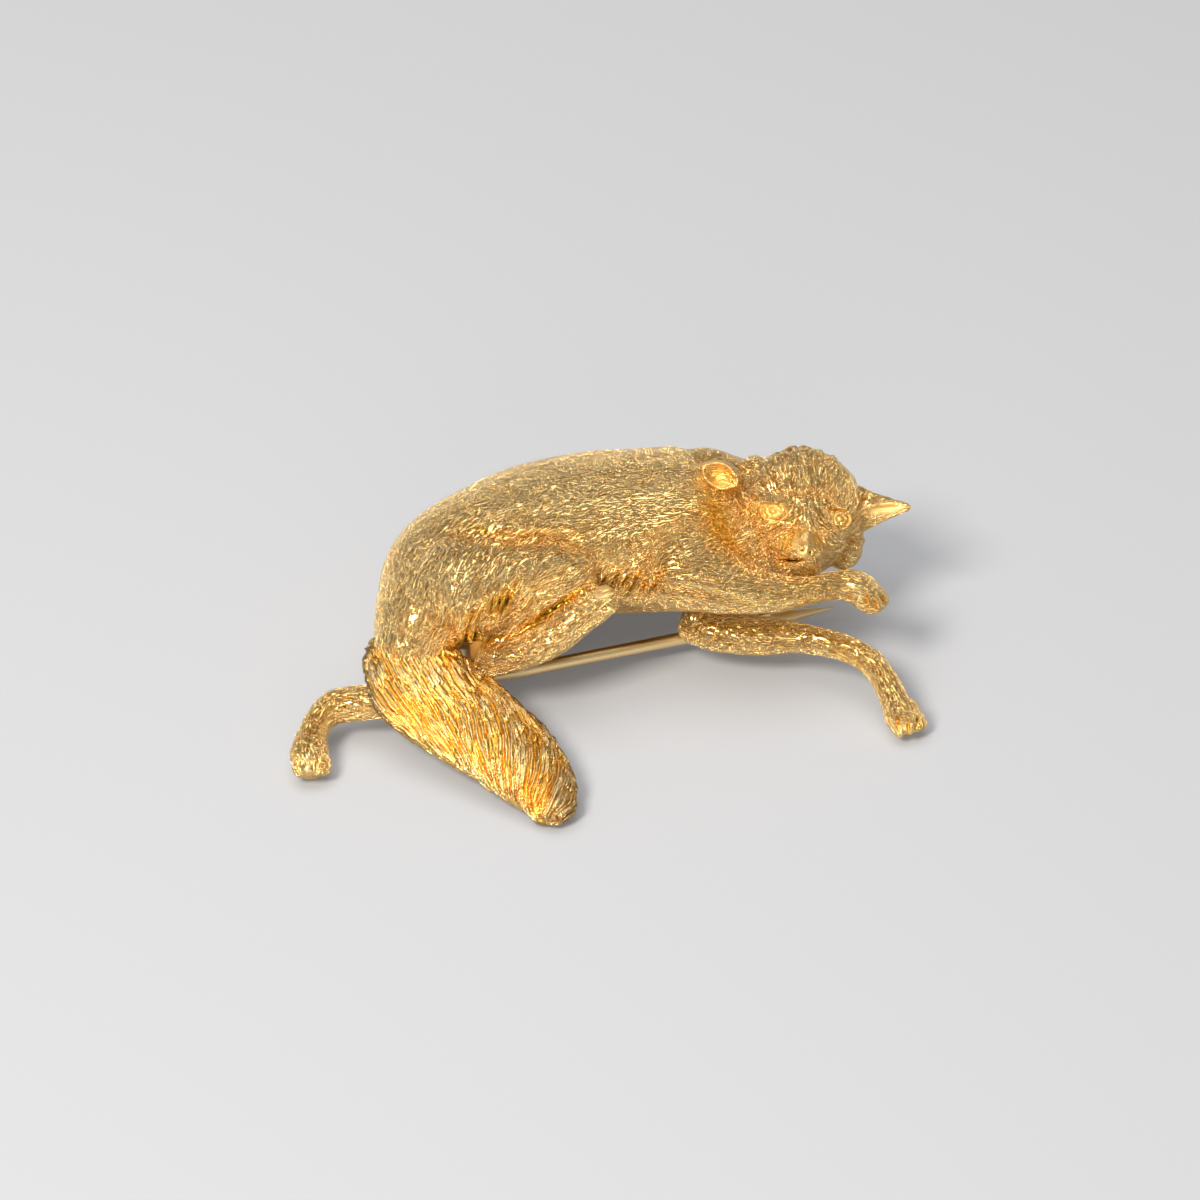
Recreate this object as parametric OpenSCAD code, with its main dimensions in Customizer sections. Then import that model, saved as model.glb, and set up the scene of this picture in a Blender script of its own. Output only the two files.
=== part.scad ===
/* [Figure] */
// Length of the figure from the hind paw to the front paw
figure_len = 50; // [46:1:54]
// Depth of the lying figure from the tail tip to the line of the back
figure_rise = 36; // [34:1:39]
// Height of the figure above the table when it lies on its back
figure_h = 15; // [14:0.5:16.5]

/* [Trunk] */
// Half of the trunk's width from the belly to the back
trunk_half_w = 8.2; // [7.6:0.1:8.8]
// Height of the flank above the trunk's middle line
flank_h = 5.4; // [5:0.1:6]
// Depth of the belly wall below the trunk's middle line
belly_drop = 5; // [4.6:0.1:5.4]
// Depth that the back's curve aims for below the trunk's middle line, where the open back cuts it short
back_drop = 13; // [12.5:0.1:13.5]
// Thickness of the cast metal round the open back
wall = 1.2; // [1:0.1:1.5]

/* [Legs] */
// Half of the width of the haunch at the hip
haunch_half_w = 5; // [4.6:0.1:5.4]
// Half of the width of the shoulder
shoulder_half_w = 4; // [3.6:0.1:4.4]
// Radius of a lower leg
leg_r = 1.35; // [1.2:0.05:1.5]
// Radius of one toe
toe_r = 0.58; // [0.5:0.02:0.66]

/* [Tail] */
// Half of the width of the brush
tail_half_w = 4.4; // [4:0.1:4.8]
// Half of the thickness of the brush
tail_half_h = 2.2; // [2:0.1:2.4]
// Depth of the furrows between the locks of the brush
furrow = 0.3; // [0.1:0.02:0.4]
// Number of locks round the brush
lock_count = 9; // [7:1:12]

/* [Head] */
// Length of the head from the nape to the nose
head_len = 12; // [11:0.5:13]
// Half of the width across the cheeks
head_half_w = 4.84; // [4.6:0.02:5.2]
// Half of the height from the throat to the crown
head_half_h = 5; // [4.7:0.1:5.3]
// How far the face tips up out of the plane of the brooch
head_tip = 25; // [18:1:32]
// How far the face turns towards the front paws
head_turn = 0; // [-2:1:8]
// How far the head leans over towards the front paws
head_lean = 10; // [6:1:14]
// Length of an ear
ear_len = 4; // [3.6:0.1:4.4]
// Radius of an ear at its root
ear_r = 1.6; // [1.4:0.1:1.8]
// Radius of an eyeball
eye_r = 0.95; // [0.85:0.05:1.05]

/* [Pin] */
// Length of the pin stem from its hinge to its point
pin_len = 29.6; // [28.8:0.1:30.4]
// Radius of the pin stem
pin_r = 0.5; // [0.42:0.02:0.55]
// Length of the sharpened point
point_len = 3.5; // [3:0.5:4]
// How far the pin stem lies turned across the back
pin_turn = 18.9; // [18:0.1:19.8]
// Height of the pin stem's middle above the table
pin_z = 2; // [1.9:0.05:2.1]
// Radius of the hinge rivet
rivet_r = 0.4; // [0.34:0.02:0.44]
// Radial play of the pin stem's eye on the rivet
rivet_play = 0.05; // [0.03:0.01:0.07]
// Thickness of metal round the rivet in the eye and the lugs
eye_wall = 0.5; // [0.44:0.02:0.56]
// Width of the pin stem's eye
eye_w = 1.1; // [1:0.05:1.2]
// Thickness of a lug, a cheek and a base plate
plate_t = 0.7; // [0.6:0.05:0.8]
// Gap between pieces that lie beside or inside each other
gap = 0.12; // [0.1:0.02:0.16]
// Distance from the hinge to the middle of the catch
catch_from_hinge = 22.4; // [22:0.1:22.8]
// Length of the catch along the pin stem
catch_len = 2.6; // [2.2:0.1:3]

/* [Hidden] */
gold = "goldenrod";
bright_gold = "gold";

ring_points = 28;
limb_points = 14;
cap_rings = 2;
toe_points = 8;
fit_points = 48;

// Trunk: x, y, z as shares of the figure's length, rise and height;
// then half width, flank, belly drop and back drop as shares of the trunk's own sizes.
trunk_table = [
    [-0.308, -0.033, 0.40, 0.35, 0.48, 0.50, 0.27],
    [-0.284,  0.056, 0.47, 0.50, 0.78, 0.80, 0.48],
    [-0.236,  0.175, 0.51, 0.71, 0.90, 0.95, 0.72],
    [-0.140,  0.239, 0.56, 0.89, 0.98, 1.00, 0.98],
    [-0.046,  0.286, 0.57, 0.97, 0.98, 1.00, 1.00],
    [ 0.052,  0.303, 0.57, 1.00, 0.99, 1.00, 1.00],
    [ 0.132,  0.310, 0.575, 0.98, 0.99, 1.00, 1.00],
    [ 0.196,  0.346, 0.56, 0.95, 0.75, 0.95, 0.75],
    [ 0.232,  0.362, 0.53, 0.84, 0.64, 0.80, 0.50],
];

// Legs and brush: x, y, z as above; then half width and half height as shares of the limb's own size.
haunch_table = [
    [-0.300, 0.028, 0.52, 0.52, 0.52],
    [-0.246, 0.061, 0.59, 1.00, 0.78],
    [-0.168, 0.067, 0.65, 0.80, 0.68],
    [-0.099, 0.076, 0.71, 0.52, 0.46],
    [-0.052, 0.072, 0.72, 0.33, 0.31],
];
shank_table = [
    [-0.052, 0.040, 0.68, 1.25, 1.25],
    [-0.098, 0.014, 0.62, 1.25, 1.25],
    [-0.144, 0.003, 0.49, 1.07, 1.07],
    [-0.180, -0.023, 0.36, 0.92, 0.92],
];
foot_table = [
    [-0.184, -0.047, 0.33, 0.90, 0.90],
    [-0.137, -0.050, 0.40, 1.07, 1.07],
    [-0.083, -0.044, 0.49, 1.05, 1.05],
    [-0.044, -0.022, 0.58, 1.03, 1.03],
    [-0.018, -0.010, 0.62, 0.95, 0.95],
];
hind_table = [
    [-0.300, -0.083, 0.30, 1.30, 1.30],
    [-0.344, -0.125, 0.23, 1.00, 1.00],
    [-0.390, -0.122, 0.20, 1.03, 1.03],
    [-0.422, -0.125, 0.18, 1.00, 1.00],
    [-0.444, -0.156, 0.16, 0.85, 0.85],
    [-0.456, -0.206, 0.13, 0.90, 0.90],
    [-0.458, -0.248, 0.11, 1.12, 1.12],
    [-0.456, -0.268, 0.10, 1.08, 1.08],
];
upper_fore_table = [
    [0.125, 0.115, 0.66, 1.05, 0.88],
    [0.187, 0.068, 0.63, 0.72, 0.56],
    [0.248, 0.054, 0.60, 0.48, 0.37],
    [0.310, 0.070, 0.58, 0.30, 0.28],
    [0.358, 0.098, 0.57, 0.31, 0.30],
    [0.386, 0.092, 0.56, 0.34, 0.33],
    [0.400, 0.080, 0.53, 0.33, 0.32],
];
lower_arm_table = [
    [0.220, 0.250, 0.47, 1.70, 1.70],
    [0.176, 0.200, 0.37, 1.40, 1.40],
    [0.140, 0.135, 0.27, 1.10, 1.10],
];
lower_fore_table = [
    [0.134, 0.128, 0.245, 1.00, 1.00],
    [0.173, 0.111, 0.240, 1.12, 1.12],
    [0.235, 0.099, 0.245, 1.16, 1.16],
    [0.297, 0.084, 0.255, 0.88, 0.88],
    [0.358, 0.047, 0.265, 0.78, 0.78],
    [0.401, 0.008, 0.245, 0.78, 0.78],
    [0.427, -0.042, 0.200, 0.78, 0.78],
    [0.442, -0.087, 0.150, 0.86, 0.86],
    [0.450, -0.106, 0.118, 1.05, 1.05],
    [0.454, -0.116, 0.105, 1.05, 1.05],
];
tail_table = [
    [-0.312, -0.022, 0.34, 0.80, 1.05],
    [-0.280, -0.111, 0.27, 1.03, 1.08],
    [-0.219, -0.187, 0.21, 1.00, 1.00],
    [-0.156, -0.272, 0.165, 0.87, 0.91],
    [-0.107, -0.360, 0.118, 0.66, 0.74],
    [-0.084, -0.428, 0.085, 0.40, 0.54],
];

// Head, seen from its own middle: place along the face as a share of its length, height as a share of
// its half height; then half width as a share of its own, crown and throat as shares of the half height.
skull_table = [
    [-0.34, 0.02, 0.50, 0.52, 0.50],
    [-0.20, 0.03, 0.84, 0.88, 0.78],
    [-0.04, 0.03, 0.99, 1.02, 0.90],
    [0.06, 0.02, 0.99, 0.98, 0.92],
    [0.14, 0.00, 0.96, 0.84, 0.96],
    [0.20, -0.03, 0.82, 0.54, 0.88],
];
muzzle_table = [
    [0.16, -0.16, 0.66, 0.42, 0.70],
    [0.27, -0.22, 0.54, 0.37, 0.63],
    [0.38, -0.30, 0.45, 0.31, 0.48],
    [0.48, -0.36, 0.38, 0.26, 0.32],
    [0.54, -0.39, 0.31, 0.21, 0.23],
];
head_middle = [0.297, 0.300, 0.67];
nose_place = [0, 0.575, -0.34];
eye_place = [0.48, 0.30, 0.07];
brow_in = [0.30, 0.32, 0.22];
brow_out = [0.76, 0.20, 0.34];
ear_root = [0.80, 0.00, 0.20];
ear_tip = [1.09, -0.38, 0.31];
ear_tilt = 0.04;
hinge_place = [-0.205, 0.000];
post_top = 0.46;
// Middle of the figure's own box, from the point that the tables are written from
box_middle = [0.002, 0.044, 0.007];

eye_outer_r = rivet_r + rivet_play + eye_wall;
seat_z = pin_z + eye_outer_r + gap + plate_t + gap / 2;
slot_w = 2 * pin_r + 4 * gap;

function unit(v) = v / norm(v);

// A row between the rows of a table, on a smooth curve through them
function curve(a, b, c, d, t) =
    0.5 * (2 * b + (c - a) * t + (2 * a - 5 * b + 4 * c - d) * t * t + (3 * b - a - 3 * c + d) * t * t * t);
function row_at(rows, u) =
    let (n = len(rows) - 1, s = min(floor(u * n), n - 1))
    curve(rows[max(s - 1, 0)], rows[s], rows[s + 1], rows[min(s + 2, n)], u * n - s);

// Table rows in millimetres: place, then half width, rise, near drop and far drop
function placed(r) = [r[0] * figure_len, r[1] * figure_rise, r[2] * figure_h];
function limb(table, half_w, half_h) =
    [for (r = table) concat(placed(r), [r[3] * half_w, r[4] * half_h, r[4] * half_h, r[4] * half_h])];
function trunk_rows() =
    [for (r = trunk_table)
        concat(placed(r), [r[3] * trunk_half_w, r[4] * flank_h, r[5] * belly_drop, r[6] * back_drop])];
function head_rows(table) =
    [for (r = table)
        [0, -r[0] * head_len, r[1] * head_half_h, r[2] * head_half_w, r[3] * head_half_h,
            r[4] * head_half_h, r[4] * head_half_h]];
function thinned(rows) = [for (r = rows) [r[0], r[1], r[2], r[3] - wall, r[4] - wall, r[5] - wall, r[6] - wall]];
function opened(rows) =
    [for (r = rows) [r[0], r[1], r[2], r[3] - wall, r[4] - wall, back_drop + 2 * wall, back_drop + 2 * wall]];
function place(r) = [r[0], r[1], r[2]];

// Ring of points round one row, square to the way the loft runs; cut lowers the furrows between locks
function ring(row, along, size, points, cut, count) =
    let (side = unit(cross([0, 0, 1], along)), rise = cross(along, side))
    [for (i = [0:points - 1])
        let (
            q = 360 * i / points,
            k = size * (1 - cut * (0.5 + 0.5 * cos(q * count))),
            drop = row[5] + (row[6] - row[5]) * (1 + cos(q)) / 2
        )
        place(row) + side * row[3] * k * cos(q) + rise * k * sin(q) * (sin(q) > 0 ? row[4] : drop)];

// Closed loft through a table's rows, with a rounded cap at each end
module loft(rows, steps, points = limb_points, cut = 0, count = 0) {
    along = [for (j = [0:steps])
        let (u = j / steps, e = 0.02)
        unit(place(row_at(rows, min(u + e, 1))) - place(row_at(rows, max(u - e, 0))))];
    first = row_at(rows, 0);
    last = row_at(rows, 1);
    cap_a = min(first[3], first[4]);
    cap_b = min(last[3], last[4]);
    function shifted(row, by) = concat(place(row) + by, [for (i = [3:6]) row[i]]);
    rings = concat(
        [for (k = [1:cap_rings])
            let (q = 90 * k / (cap_rings + 1))
            ring(shifted(first, -along[0] * cap_a * cos(q)), along[0], sin(q), points, cut, count)],
        [for (j = [0:steps]) ring(row_at(rows, j / steps), along[j], 1, points, cut, count)],
        [for (k = [1:cap_rings])
            let (q = 90 * (1 - k / (cap_rings + 1)))
            ring(shifted(last, along[steps] * cap_b * cos(q)), along[steps], sin(q), points, cut, count)]
    );
    count_rings = len(rings);
    body = [for (r = rings) each r];
    tip_a = place(first) - along[0] * cap_a;
    tip_b = place(last) + along[steps] * cap_b;
    faces = concat(
        [for (j = [0:count_rings - 2], i = [0:points - 1])
            let (n = (i + 1) % points)
            each [
                [j * points + i, (j + 1) * points + i, j * points + n],
                [j * points + n, (j + 1) * points + i, (j + 1) * points + n]
            ]],
        [for (i = [0:points - 1]) [len(body), i, (i + 1) % points]],
        [for (i = [0:points - 1])
            let (base = (count_rings - 1) * points)
            [len(body) + 1, base + (i + 1) % points, base + i]]
    );
    polyhedron(points = concat(body, [tip_a, tip_b]), faces = faces, convexity = 10);
}

// Four toes fanned round the end of a limb, on the way that it points
module toes(table) {
    end = placed(table[len(table) - 1]);
    along = unit(end - placed(table[len(table) - 2]));
    side = unit(cross([0, 0, 1], along));
    rise = cross(along, side);
    for (i = [-1.5:1:1.5])
        hull()
            for (reach = [0.3, 1])
                translate(end + along * leg_r * (reach - 0.06 * i * i) + side * i * toe_r * 1.1
                    + rise * leg_r * (0.3 - 0.1 * i * i))
                    sphere(r = toe_r, $fn = toe_points);
}

module haunch() { loft(limb(haunch_table, haunch_half_w, haunch_half_w), 10, 20); }

module upper_foreleg() { loft(limb(upper_fore_table, shoulder_half_w, shoulder_half_w), 16, 16); }

// The trunk with its haunch and shoulder, open at the back as a cast figure is
module trunk() {
    difference() {
        union() {
            loft(trunk_rows(), 20, ring_points);
            haunch();
            upper_foreleg();
        }
        rows = trunk_rows();
        loft(opened([for (i = [1:len(rows) - 3]) rows[i]]), 12, 24);
        loft(thinned(limb([for (i = [1:2]) haunch_table[i]], haunch_half_w, haunch_half_w)), 3, 16);
    }
    toes(upper_fore_table);
}

module near_hind_leg() {
    loft(limb(shank_table, leg_r, leg_r), 6);
    loft(limb(foot_table, leg_r, leg_r), 8);
    toes(foot_table);
}

module far_hind_leg() {
    loft(limb(hind_table, leg_r, leg_r), 14);
    toes(hind_table);
}

module lower_foreleg() {
    loft(limb(lower_arm_table, leg_r, leg_r), 4);
    loft(limb(lower_fore_table, leg_r, leg_r), 18);
    toes(lower_fore_table);
}

module tail() {
    loft(limb(tail_table, tail_half_w, tail_half_h), 20, 4 * lock_count, furrow / tail_half_h, lock_count);
}

// A point of the head from shares of its half width, length and half height
function on_head(p, s) = [s * p[0] * head_half_w, -p[1] * head_len, p[2] * head_half_h];

// Cupped ear: a cone that leans back from the cheek, with its face hollowed
module ear(s) {
    root = on_head(ear_root, s);
    tip = root + [s * ear_tip[0], ear_tip[1], ear_tip[2] - s * ear_tilt] * ear_len;
    difference() {
        hull() {
            translate(root) scale([1, 0.7, 1]) sphere(r = ear_r, $fn = 14);
            translate(tip) sphere(r = 0.3, $fn = 8);
        }
        hull() {
            translate(root + [s * 0.9, -0.9, -0.1] * ear_r) scale([1, 0.7, 1]) sphere(r = ear_r * 0.6, $fn = 12);
            translate(tip + [-s * 0.6, -0.5, 0]) sphere(r = 0.15, $fn = 8);
        }
    }
}

module head() {
    translate(placed(head_middle)) rotate([0, head_lean, head_turn]) rotate([-head_tip, 0, 0]) {
        loft(head_rows(skull_table), 14, 24);
        loft(head_rows(muzzle_table), 10, 18);
        translate(on_head(nose_place, 1)) scale([1.2, 0.9, 0.9]) sphere(r = eye_r * 0.72, $fn = 12);
        for (s = [-1, 1]) {
            translate(on_head(eye_place, s)) sphere(r = eye_r, $fn = 14);
            hull()
                for (end = [brow_in, brow_out])
                    translate(on_head(end, s)) sphere(r = eye_r * 0.6, $fn = 10);
            ear(s);
        }
    }
}

// Brings the middle of the figure's foot print on the table to the origin
module on_table() {
    translate(-placed(box_middle)) children();
}

// Where the pin stem lies: its own x runs from the hinge to the point
module along_pin() {
    translate([hinge_place[0] * figure_len, hinge_place[1] * figure_rise, pin_z])
        rotate([0, 0, pin_turn])
            children();
}

// Post of metal from a finding's base up into the figure
module post(from_hinge, length, width) {
    along_pin()
        translate([from_hinge - length / 2, -width / 2, seat_z - pin_z])
            cube([length, width, post_top * figure_h - seat_z]);
}

// Clear space below a seat, so that the finding touches the figure only there
module clearance(from_hinge, length, width) {
    along_pin()
        translate([from_hinge - length / 2 - gap, -width / 2 - gap, -pin_z])
            cube([length + 2 * gap, width + 2 * gap, seat_z]);
}

module fox_figure() {
    color(gold) on_table() {
        difference() {
            union() {
                trunk();
                near_hind_leg();
                far_hind_leg();
                lower_foreleg();
                tail();
                head();
            }
            clearance(0, 2 * eye_outer_r, eye_w + 2 * plate_t + 2 * gap);
            clearance(catch_from_hinge, catch_len, slot_w + 2 * plate_t);
        }
        post(0, 2 * eye_outer_r, eye_w + 2 * plate_t);
        post(catch_from_hinge, catch_len, slot_w + 2 * plate_t);
    }
}

// Base plate with two lugs that hold the rivet
module hinge_bracket() {
    width = eye_w + 2 * gap + 2 * plate_t;
    color(bright_gold) on_table() along_pin() difference() {
        union() {
            translate([-eye_outer_r, -width / 2, eye_outer_r + gap])
                cube([2 * eye_outer_r, width, plate_t]);
            for (s = [-1, 1])
                translate([0, s * (width - plate_t) / 2, 0])
                    lug();
        }
        rotate([90, 0, 0]) cylinder(h = 2 * width, r = rivet_r + gap / 4, center = true, $fn = fit_points);
    }
}

module lug() {
    rotate([90, 0, 0]) cylinder(h = plate_t, r = eye_outer_r, center = true, $fn = fit_points);
    translate([-eye_outer_r, -plate_t / 2, 0]) cube([2 * eye_outer_r, plate_t, eye_outer_r + gap + plate_t]);
}

module hinge_rivet() {
    color(bright_gold) on_table() along_pin()
        rotate([90, 0, 0])
            cylinder(h = eye_w + 2 * gap + 2 * plate_t, r = rivet_r, center = true, $fn = fit_points);
}

// Pin stem: an eye on the rivet, a straight wire and a long point
module pin_stem() {
    color(bright_gold) on_table() along_pin() difference() {
        union() {
            rotate([90, 0, 0]) cylinder(h = eye_w, r = eye_outer_r, center = true, $fn = fit_points);
            rotate([0, 90, 0]) cylinder(h = pin_len - point_len, r = pin_r, $fn = fit_points);
            translate([pin_len - point_len, 0, 0])
                rotate([0, 90, 0]) cylinder(h = point_len, r1 = pin_r, r2 = pin_r * 0.12, $fn = fit_points);
        }
        rotate([90, 0, 0]) cylinder(h = 2 * eye_w, r = rivet_r + rivet_play, center = true, $fn = fit_points);
    }
}

// Catch: a base plate with two cheeks that the pin stem lies between
module catch_hook() {
    width = slot_w + 2 * plate_t;
    base = eye_outer_r + gap;
    color(bright_gold) on_table() along_pin()
        translate([catch_from_hinge - catch_len / 2, 0, 0])
            rotate([90, 0, 90])
                linear_extrude(catch_len)
                    difference() {
                        union() {
                            translate([-width / 2, 0]) square([width, base + plate_t]);
                            for (s = [-1, 1])
                                translate([s * (slot_w + plate_t) / 2, 0]) circle(plate_t / 2, $fn = 24);
                        }
                        translate([-slot_w / 2, -plate_t]) square([slot_w, base + plate_t - slot_w / 2]);
                        translate([0, base - slot_w / 2]) circle(slot_w / 2, $fn = 32);
                    }
}

fox_figure();
hinge_bracket();
hinge_rivet();
pin_stem();
catch_hook();
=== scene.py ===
"""Lying fox brooch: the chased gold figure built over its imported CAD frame, and a plain studio round it."""

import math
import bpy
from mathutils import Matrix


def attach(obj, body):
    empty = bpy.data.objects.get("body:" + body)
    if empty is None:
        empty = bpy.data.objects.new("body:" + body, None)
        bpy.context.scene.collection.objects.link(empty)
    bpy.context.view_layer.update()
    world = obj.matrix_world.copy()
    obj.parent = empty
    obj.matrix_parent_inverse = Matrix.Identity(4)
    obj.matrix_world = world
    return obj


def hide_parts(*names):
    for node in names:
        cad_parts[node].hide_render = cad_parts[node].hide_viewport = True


bl_info = {
    "name": "Lying fox brooch",
    "version": (1, 0, 0),
    "blender": (4, 5, 0),
    "location": "View3D > Sidebar > Brooch",
    "description": "A fox in chased gold with an open back, fitted over its CAD frame",
    "category": "Object",
}

import bmesh
import bpy
import numpy as np
from mathutils import Matrix

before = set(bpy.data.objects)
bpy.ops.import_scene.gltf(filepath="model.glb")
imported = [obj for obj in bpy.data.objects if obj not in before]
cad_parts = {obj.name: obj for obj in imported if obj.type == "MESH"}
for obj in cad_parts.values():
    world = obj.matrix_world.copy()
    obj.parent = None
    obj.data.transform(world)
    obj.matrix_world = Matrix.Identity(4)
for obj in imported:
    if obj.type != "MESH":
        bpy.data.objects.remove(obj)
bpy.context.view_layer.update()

MM = 0.001

# Sizes and tables of the figure, as its CAD source has them. A row is a place in shares of the figure's box,
# then shares of the half width, the rise and, on the trunk, the drops of the belly and the back.
FIGURE = np.array([50.0, 36.0, 15.0])
BOX_MIDDLE = np.array([0.002, 0.044, 0.007])
TRUNK_HALF_W, FLANK_H, BELLY_DROP, BACK_DROP, WALL = 8.2, 5.4, 5.0, 13.0, 1.2
HAUNCH_HALF_W, SHOULDER_HALF_W, LEG_R, TOE_R = 5.0, 4.0, 1.35, 0.58
TAIL_HALF_W, TAIL_HALF_H = 4.4, 2.2
HEAD_LEN, HEAD_HALF_W, HEAD_HALF_H = 12.0, 4.84, 5.0
HEAD_TIP, HEAD_LEAN, HEAD_TURN = 25.0, 10.0, 0.0
PIN_TURN, SEAT_Z, POST_TOP = 18.9, 3.83, 6.9
HINGE_PLACE = np.array([-0.205, 0.0])
HINGE_POST = (0.0, 1.9, 2.5)
CATCH_POST = (22.4, 2.6, 2.88)

TRUNK = [
    [-0.308, -0.033, 0.40, 0.35, 0.48, 0.50, 0.27],
    [-0.284, 0.056, 0.47, 0.50, 0.78, 0.80, 0.48],
    [-0.236, 0.175, 0.51, 0.71, 0.90, 0.95, 0.72],
    [-0.140, 0.239, 0.56, 0.89, 0.98, 1.00, 0.98],
    [-0.046, 0.286, 0.57, 0.97, 0.98, 1.00, 1.00],
    [0.052, 0.303, 0.57, 1.00, 0.99, 1.00, 1.00],
    [0.132, 0.310, 0.575, 0.98, 0.99, 1.00, 1.00],
    [0.196, 0.346, 0.56, 0.95, 0.75, 0.95, 0.75],
    [0.232, 0.362, 0.53, 0.84, 0.64, 0.80, 0.50],
]
HAUNCH = [
    [-0.300, 0.028, 0.52, 0.52, 0.52],
    [-0.246, 0.061, 0.59, 1.00, 0.78],
    [-0.168, 0.067, 0.65, 0.80, 0.68],
    [-0.099, 0.076, 0.71, 0.52, 0.46],
    [-0.052, 0.072, 0.72, 0.33, 0.31],
]
SHANK = [
    [-0.052, 0.040, 0.68, 1.25],
    [-0.098, 0.014, 0.62, 1.25],
    [-0.144, 0.003, 0.49, 1.07],
    [-0.180, -0.023, 0.36, 0.92],
]
FOOT = [
    [-0.184, -0.047, 0.33, 0.90],
    [-0.137, -0.050, 0.40, 1.07],
    [-0.083, -0.044, 0.49, 1.05],
    [-0.044, -0.022, 0.58, 1.03],
    [-0.018, -0.010, 0.62, 0.95],
]
FAR_HIND = [
    [-0.300, -0.083, 0.30, 1.30],
    [-0.344, -0.125, 0.23, 1.00],
    [-0.390, -0.122, 0.20, 1.03],
    [-0.422, -0.125, 0.18, 1.00],
    [-0.444, -0.156, 0.16, 0.85],
    [-0.456, -0.206, 0.13, 0.90],
    [-0.458, -0.248, 0.11, 1.12],
    [-0.456, -0.268, 0.10, 1.08],
]
UPPER_FORE = [
    [0.125, 0.115, 0.66, 1.05, 0.88],
    [0.187, 0.068, 0.63, 0.72, 0.56],
    [0.248, 0.054, 0.60, 0.48, 0.37],
    [0.310, 0.070, 0.58, 0.30, 0.28],
    [0.358, 0.098, 0.57, 0.31, 0.30],
    [0.386, 0.092, 0.56, 0.34, 0.33],
    [0.400, 0.080, 0.53, 0.33, 0.32],
]
LOWER_ARM = [
    [0.220, 0.250, 0.47, 1.70],
    [0.176, 0.200, 0.37, 1.40],
    [0.140, 0.135, 0.27, 1.10],
]
LOWER_FORE = [
    [0.134, 0.128, 0.245, 1.00],
    [0.173, 0.111, 0.240, 1.12],
    [0.235, 0.099, 0.245, 1.16],
    [0.297, 0.084, 0.255, 0.88],
    [0.358, 0.047, 0.265, 0.78],
    [0.401, 0.008, 0.245, 0.78],
    [0.427, -0.042, 0.200, 0.78],
    [0.442, -0.087, 0.150, 0.86],
    [0.450, -0.106, 0.118, 1.05],
    [0.454, -0.116, 0.105, 1.05],
]
TAIL = [
    [-0.312, -0.022, 0.34, 0.80, 1.05],
    [-0.280, -0.111, 0.27, 1.03, 1.08],
    [-0.219, -0.187, 0.21, 1.00, 1.00],
    [-0.156, -0.272, 0.165, 0.87, 0.91],
    [-0.107, -0.360, 0.118, 0.66, 0.74],
    [-0.084, -0.428, 0.085, 0.40, 0.54],
]

# Rows of the head: how far along, how high, half width, rise and drop.
SKULL = [
    [-0.34, 0.02, 0.50, 0.52, 0.50],
    [-0.20, 0.03, 0.84, 0.88, 0.78],
    [-0.04, 0.03, 0.99, 1.02, 0.90],
    [0.06, 0.02, 0.99, 0.98, 0.92],
    [0.14, 0.00, 0.96, 0.84, 0.96],
    [0.20, -0.03, 0.82, 0.54, 0.88],
]
MUZZLE = [
    [0.16, -0.16, 0.66, 0.42, 0.70],
    [0.27, -0.22, 0.54, 0.37, 0.63],
    [0.38, -0.30, 0.45, 0.31, 0.48],
    [0.48, -0.36, 0.38, 0.26, 0.32],
    [0.54, -0.39, 0.31, 0.21, 0.23],
]
HEAD_MIDDLE = np.array([0.297, 0.300, 0.67])

# The front view: its target, distance and tilt, from which the chasing is laid out.
VIEW_TARGET = np.array([-0.8, 4.816, 4.9])
VIEW_DISTANCE = 500.0
VIEW_TILT = math.radians(36.0)
RIGHT = np.array([1.0, 0.0, 0.0])
BACK = np.array([0.0, -math.cos(VIEW_TILT), math.sin(VIEW_TILT)])
UP = np.cross(BACK, RIGHT)

# Rings that round off a tube's end, points round a ball, and samples along a chased stroke.
CAP_RINGS, BALL_POINTS, STROKE_TAPS = 6, 24, 9

# Rings and points of the carved discs, and the share that an almond's height is drawn in at its ends.
DISC_RINGS, DISC_POINTS, ALMOND = 90, 96, 0.25

# Band of the skin round a disc's edge that it is laid on, in squares of its half size.
DISC_RIM = (0.7, 1.6)

# Step from one toe to the next, in toe radii.
TOE_SPREAD = 1.1

# Where along its length the trunk is shown as two pieces, in millimetres.
TRUNK_SPLIT = 1.0

# Grain of the trunk's first skin, the rounds that melt it, and the rounds of smoothing of each skin.
ROUGH_GRAIN, MELT_ROUNDS = 0.3 * MM, 60
SMOOTH_ROUNDS = {"rough": 2, "trunk": 6, "head": 10, "legs": 8}

# Chased strokes: width and reach in millimetres, and the seed of their noise.
TRUNK_STROKES = ((0.26, 0.20, 3), (1.0, 0.9, 4))
HEAD_STROKES = ((0.2, 0.34, 8), (0.5, 0.8, 9))
LEG_STROKES = (0.2, 0.26)
LEG_SEED = 30


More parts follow.
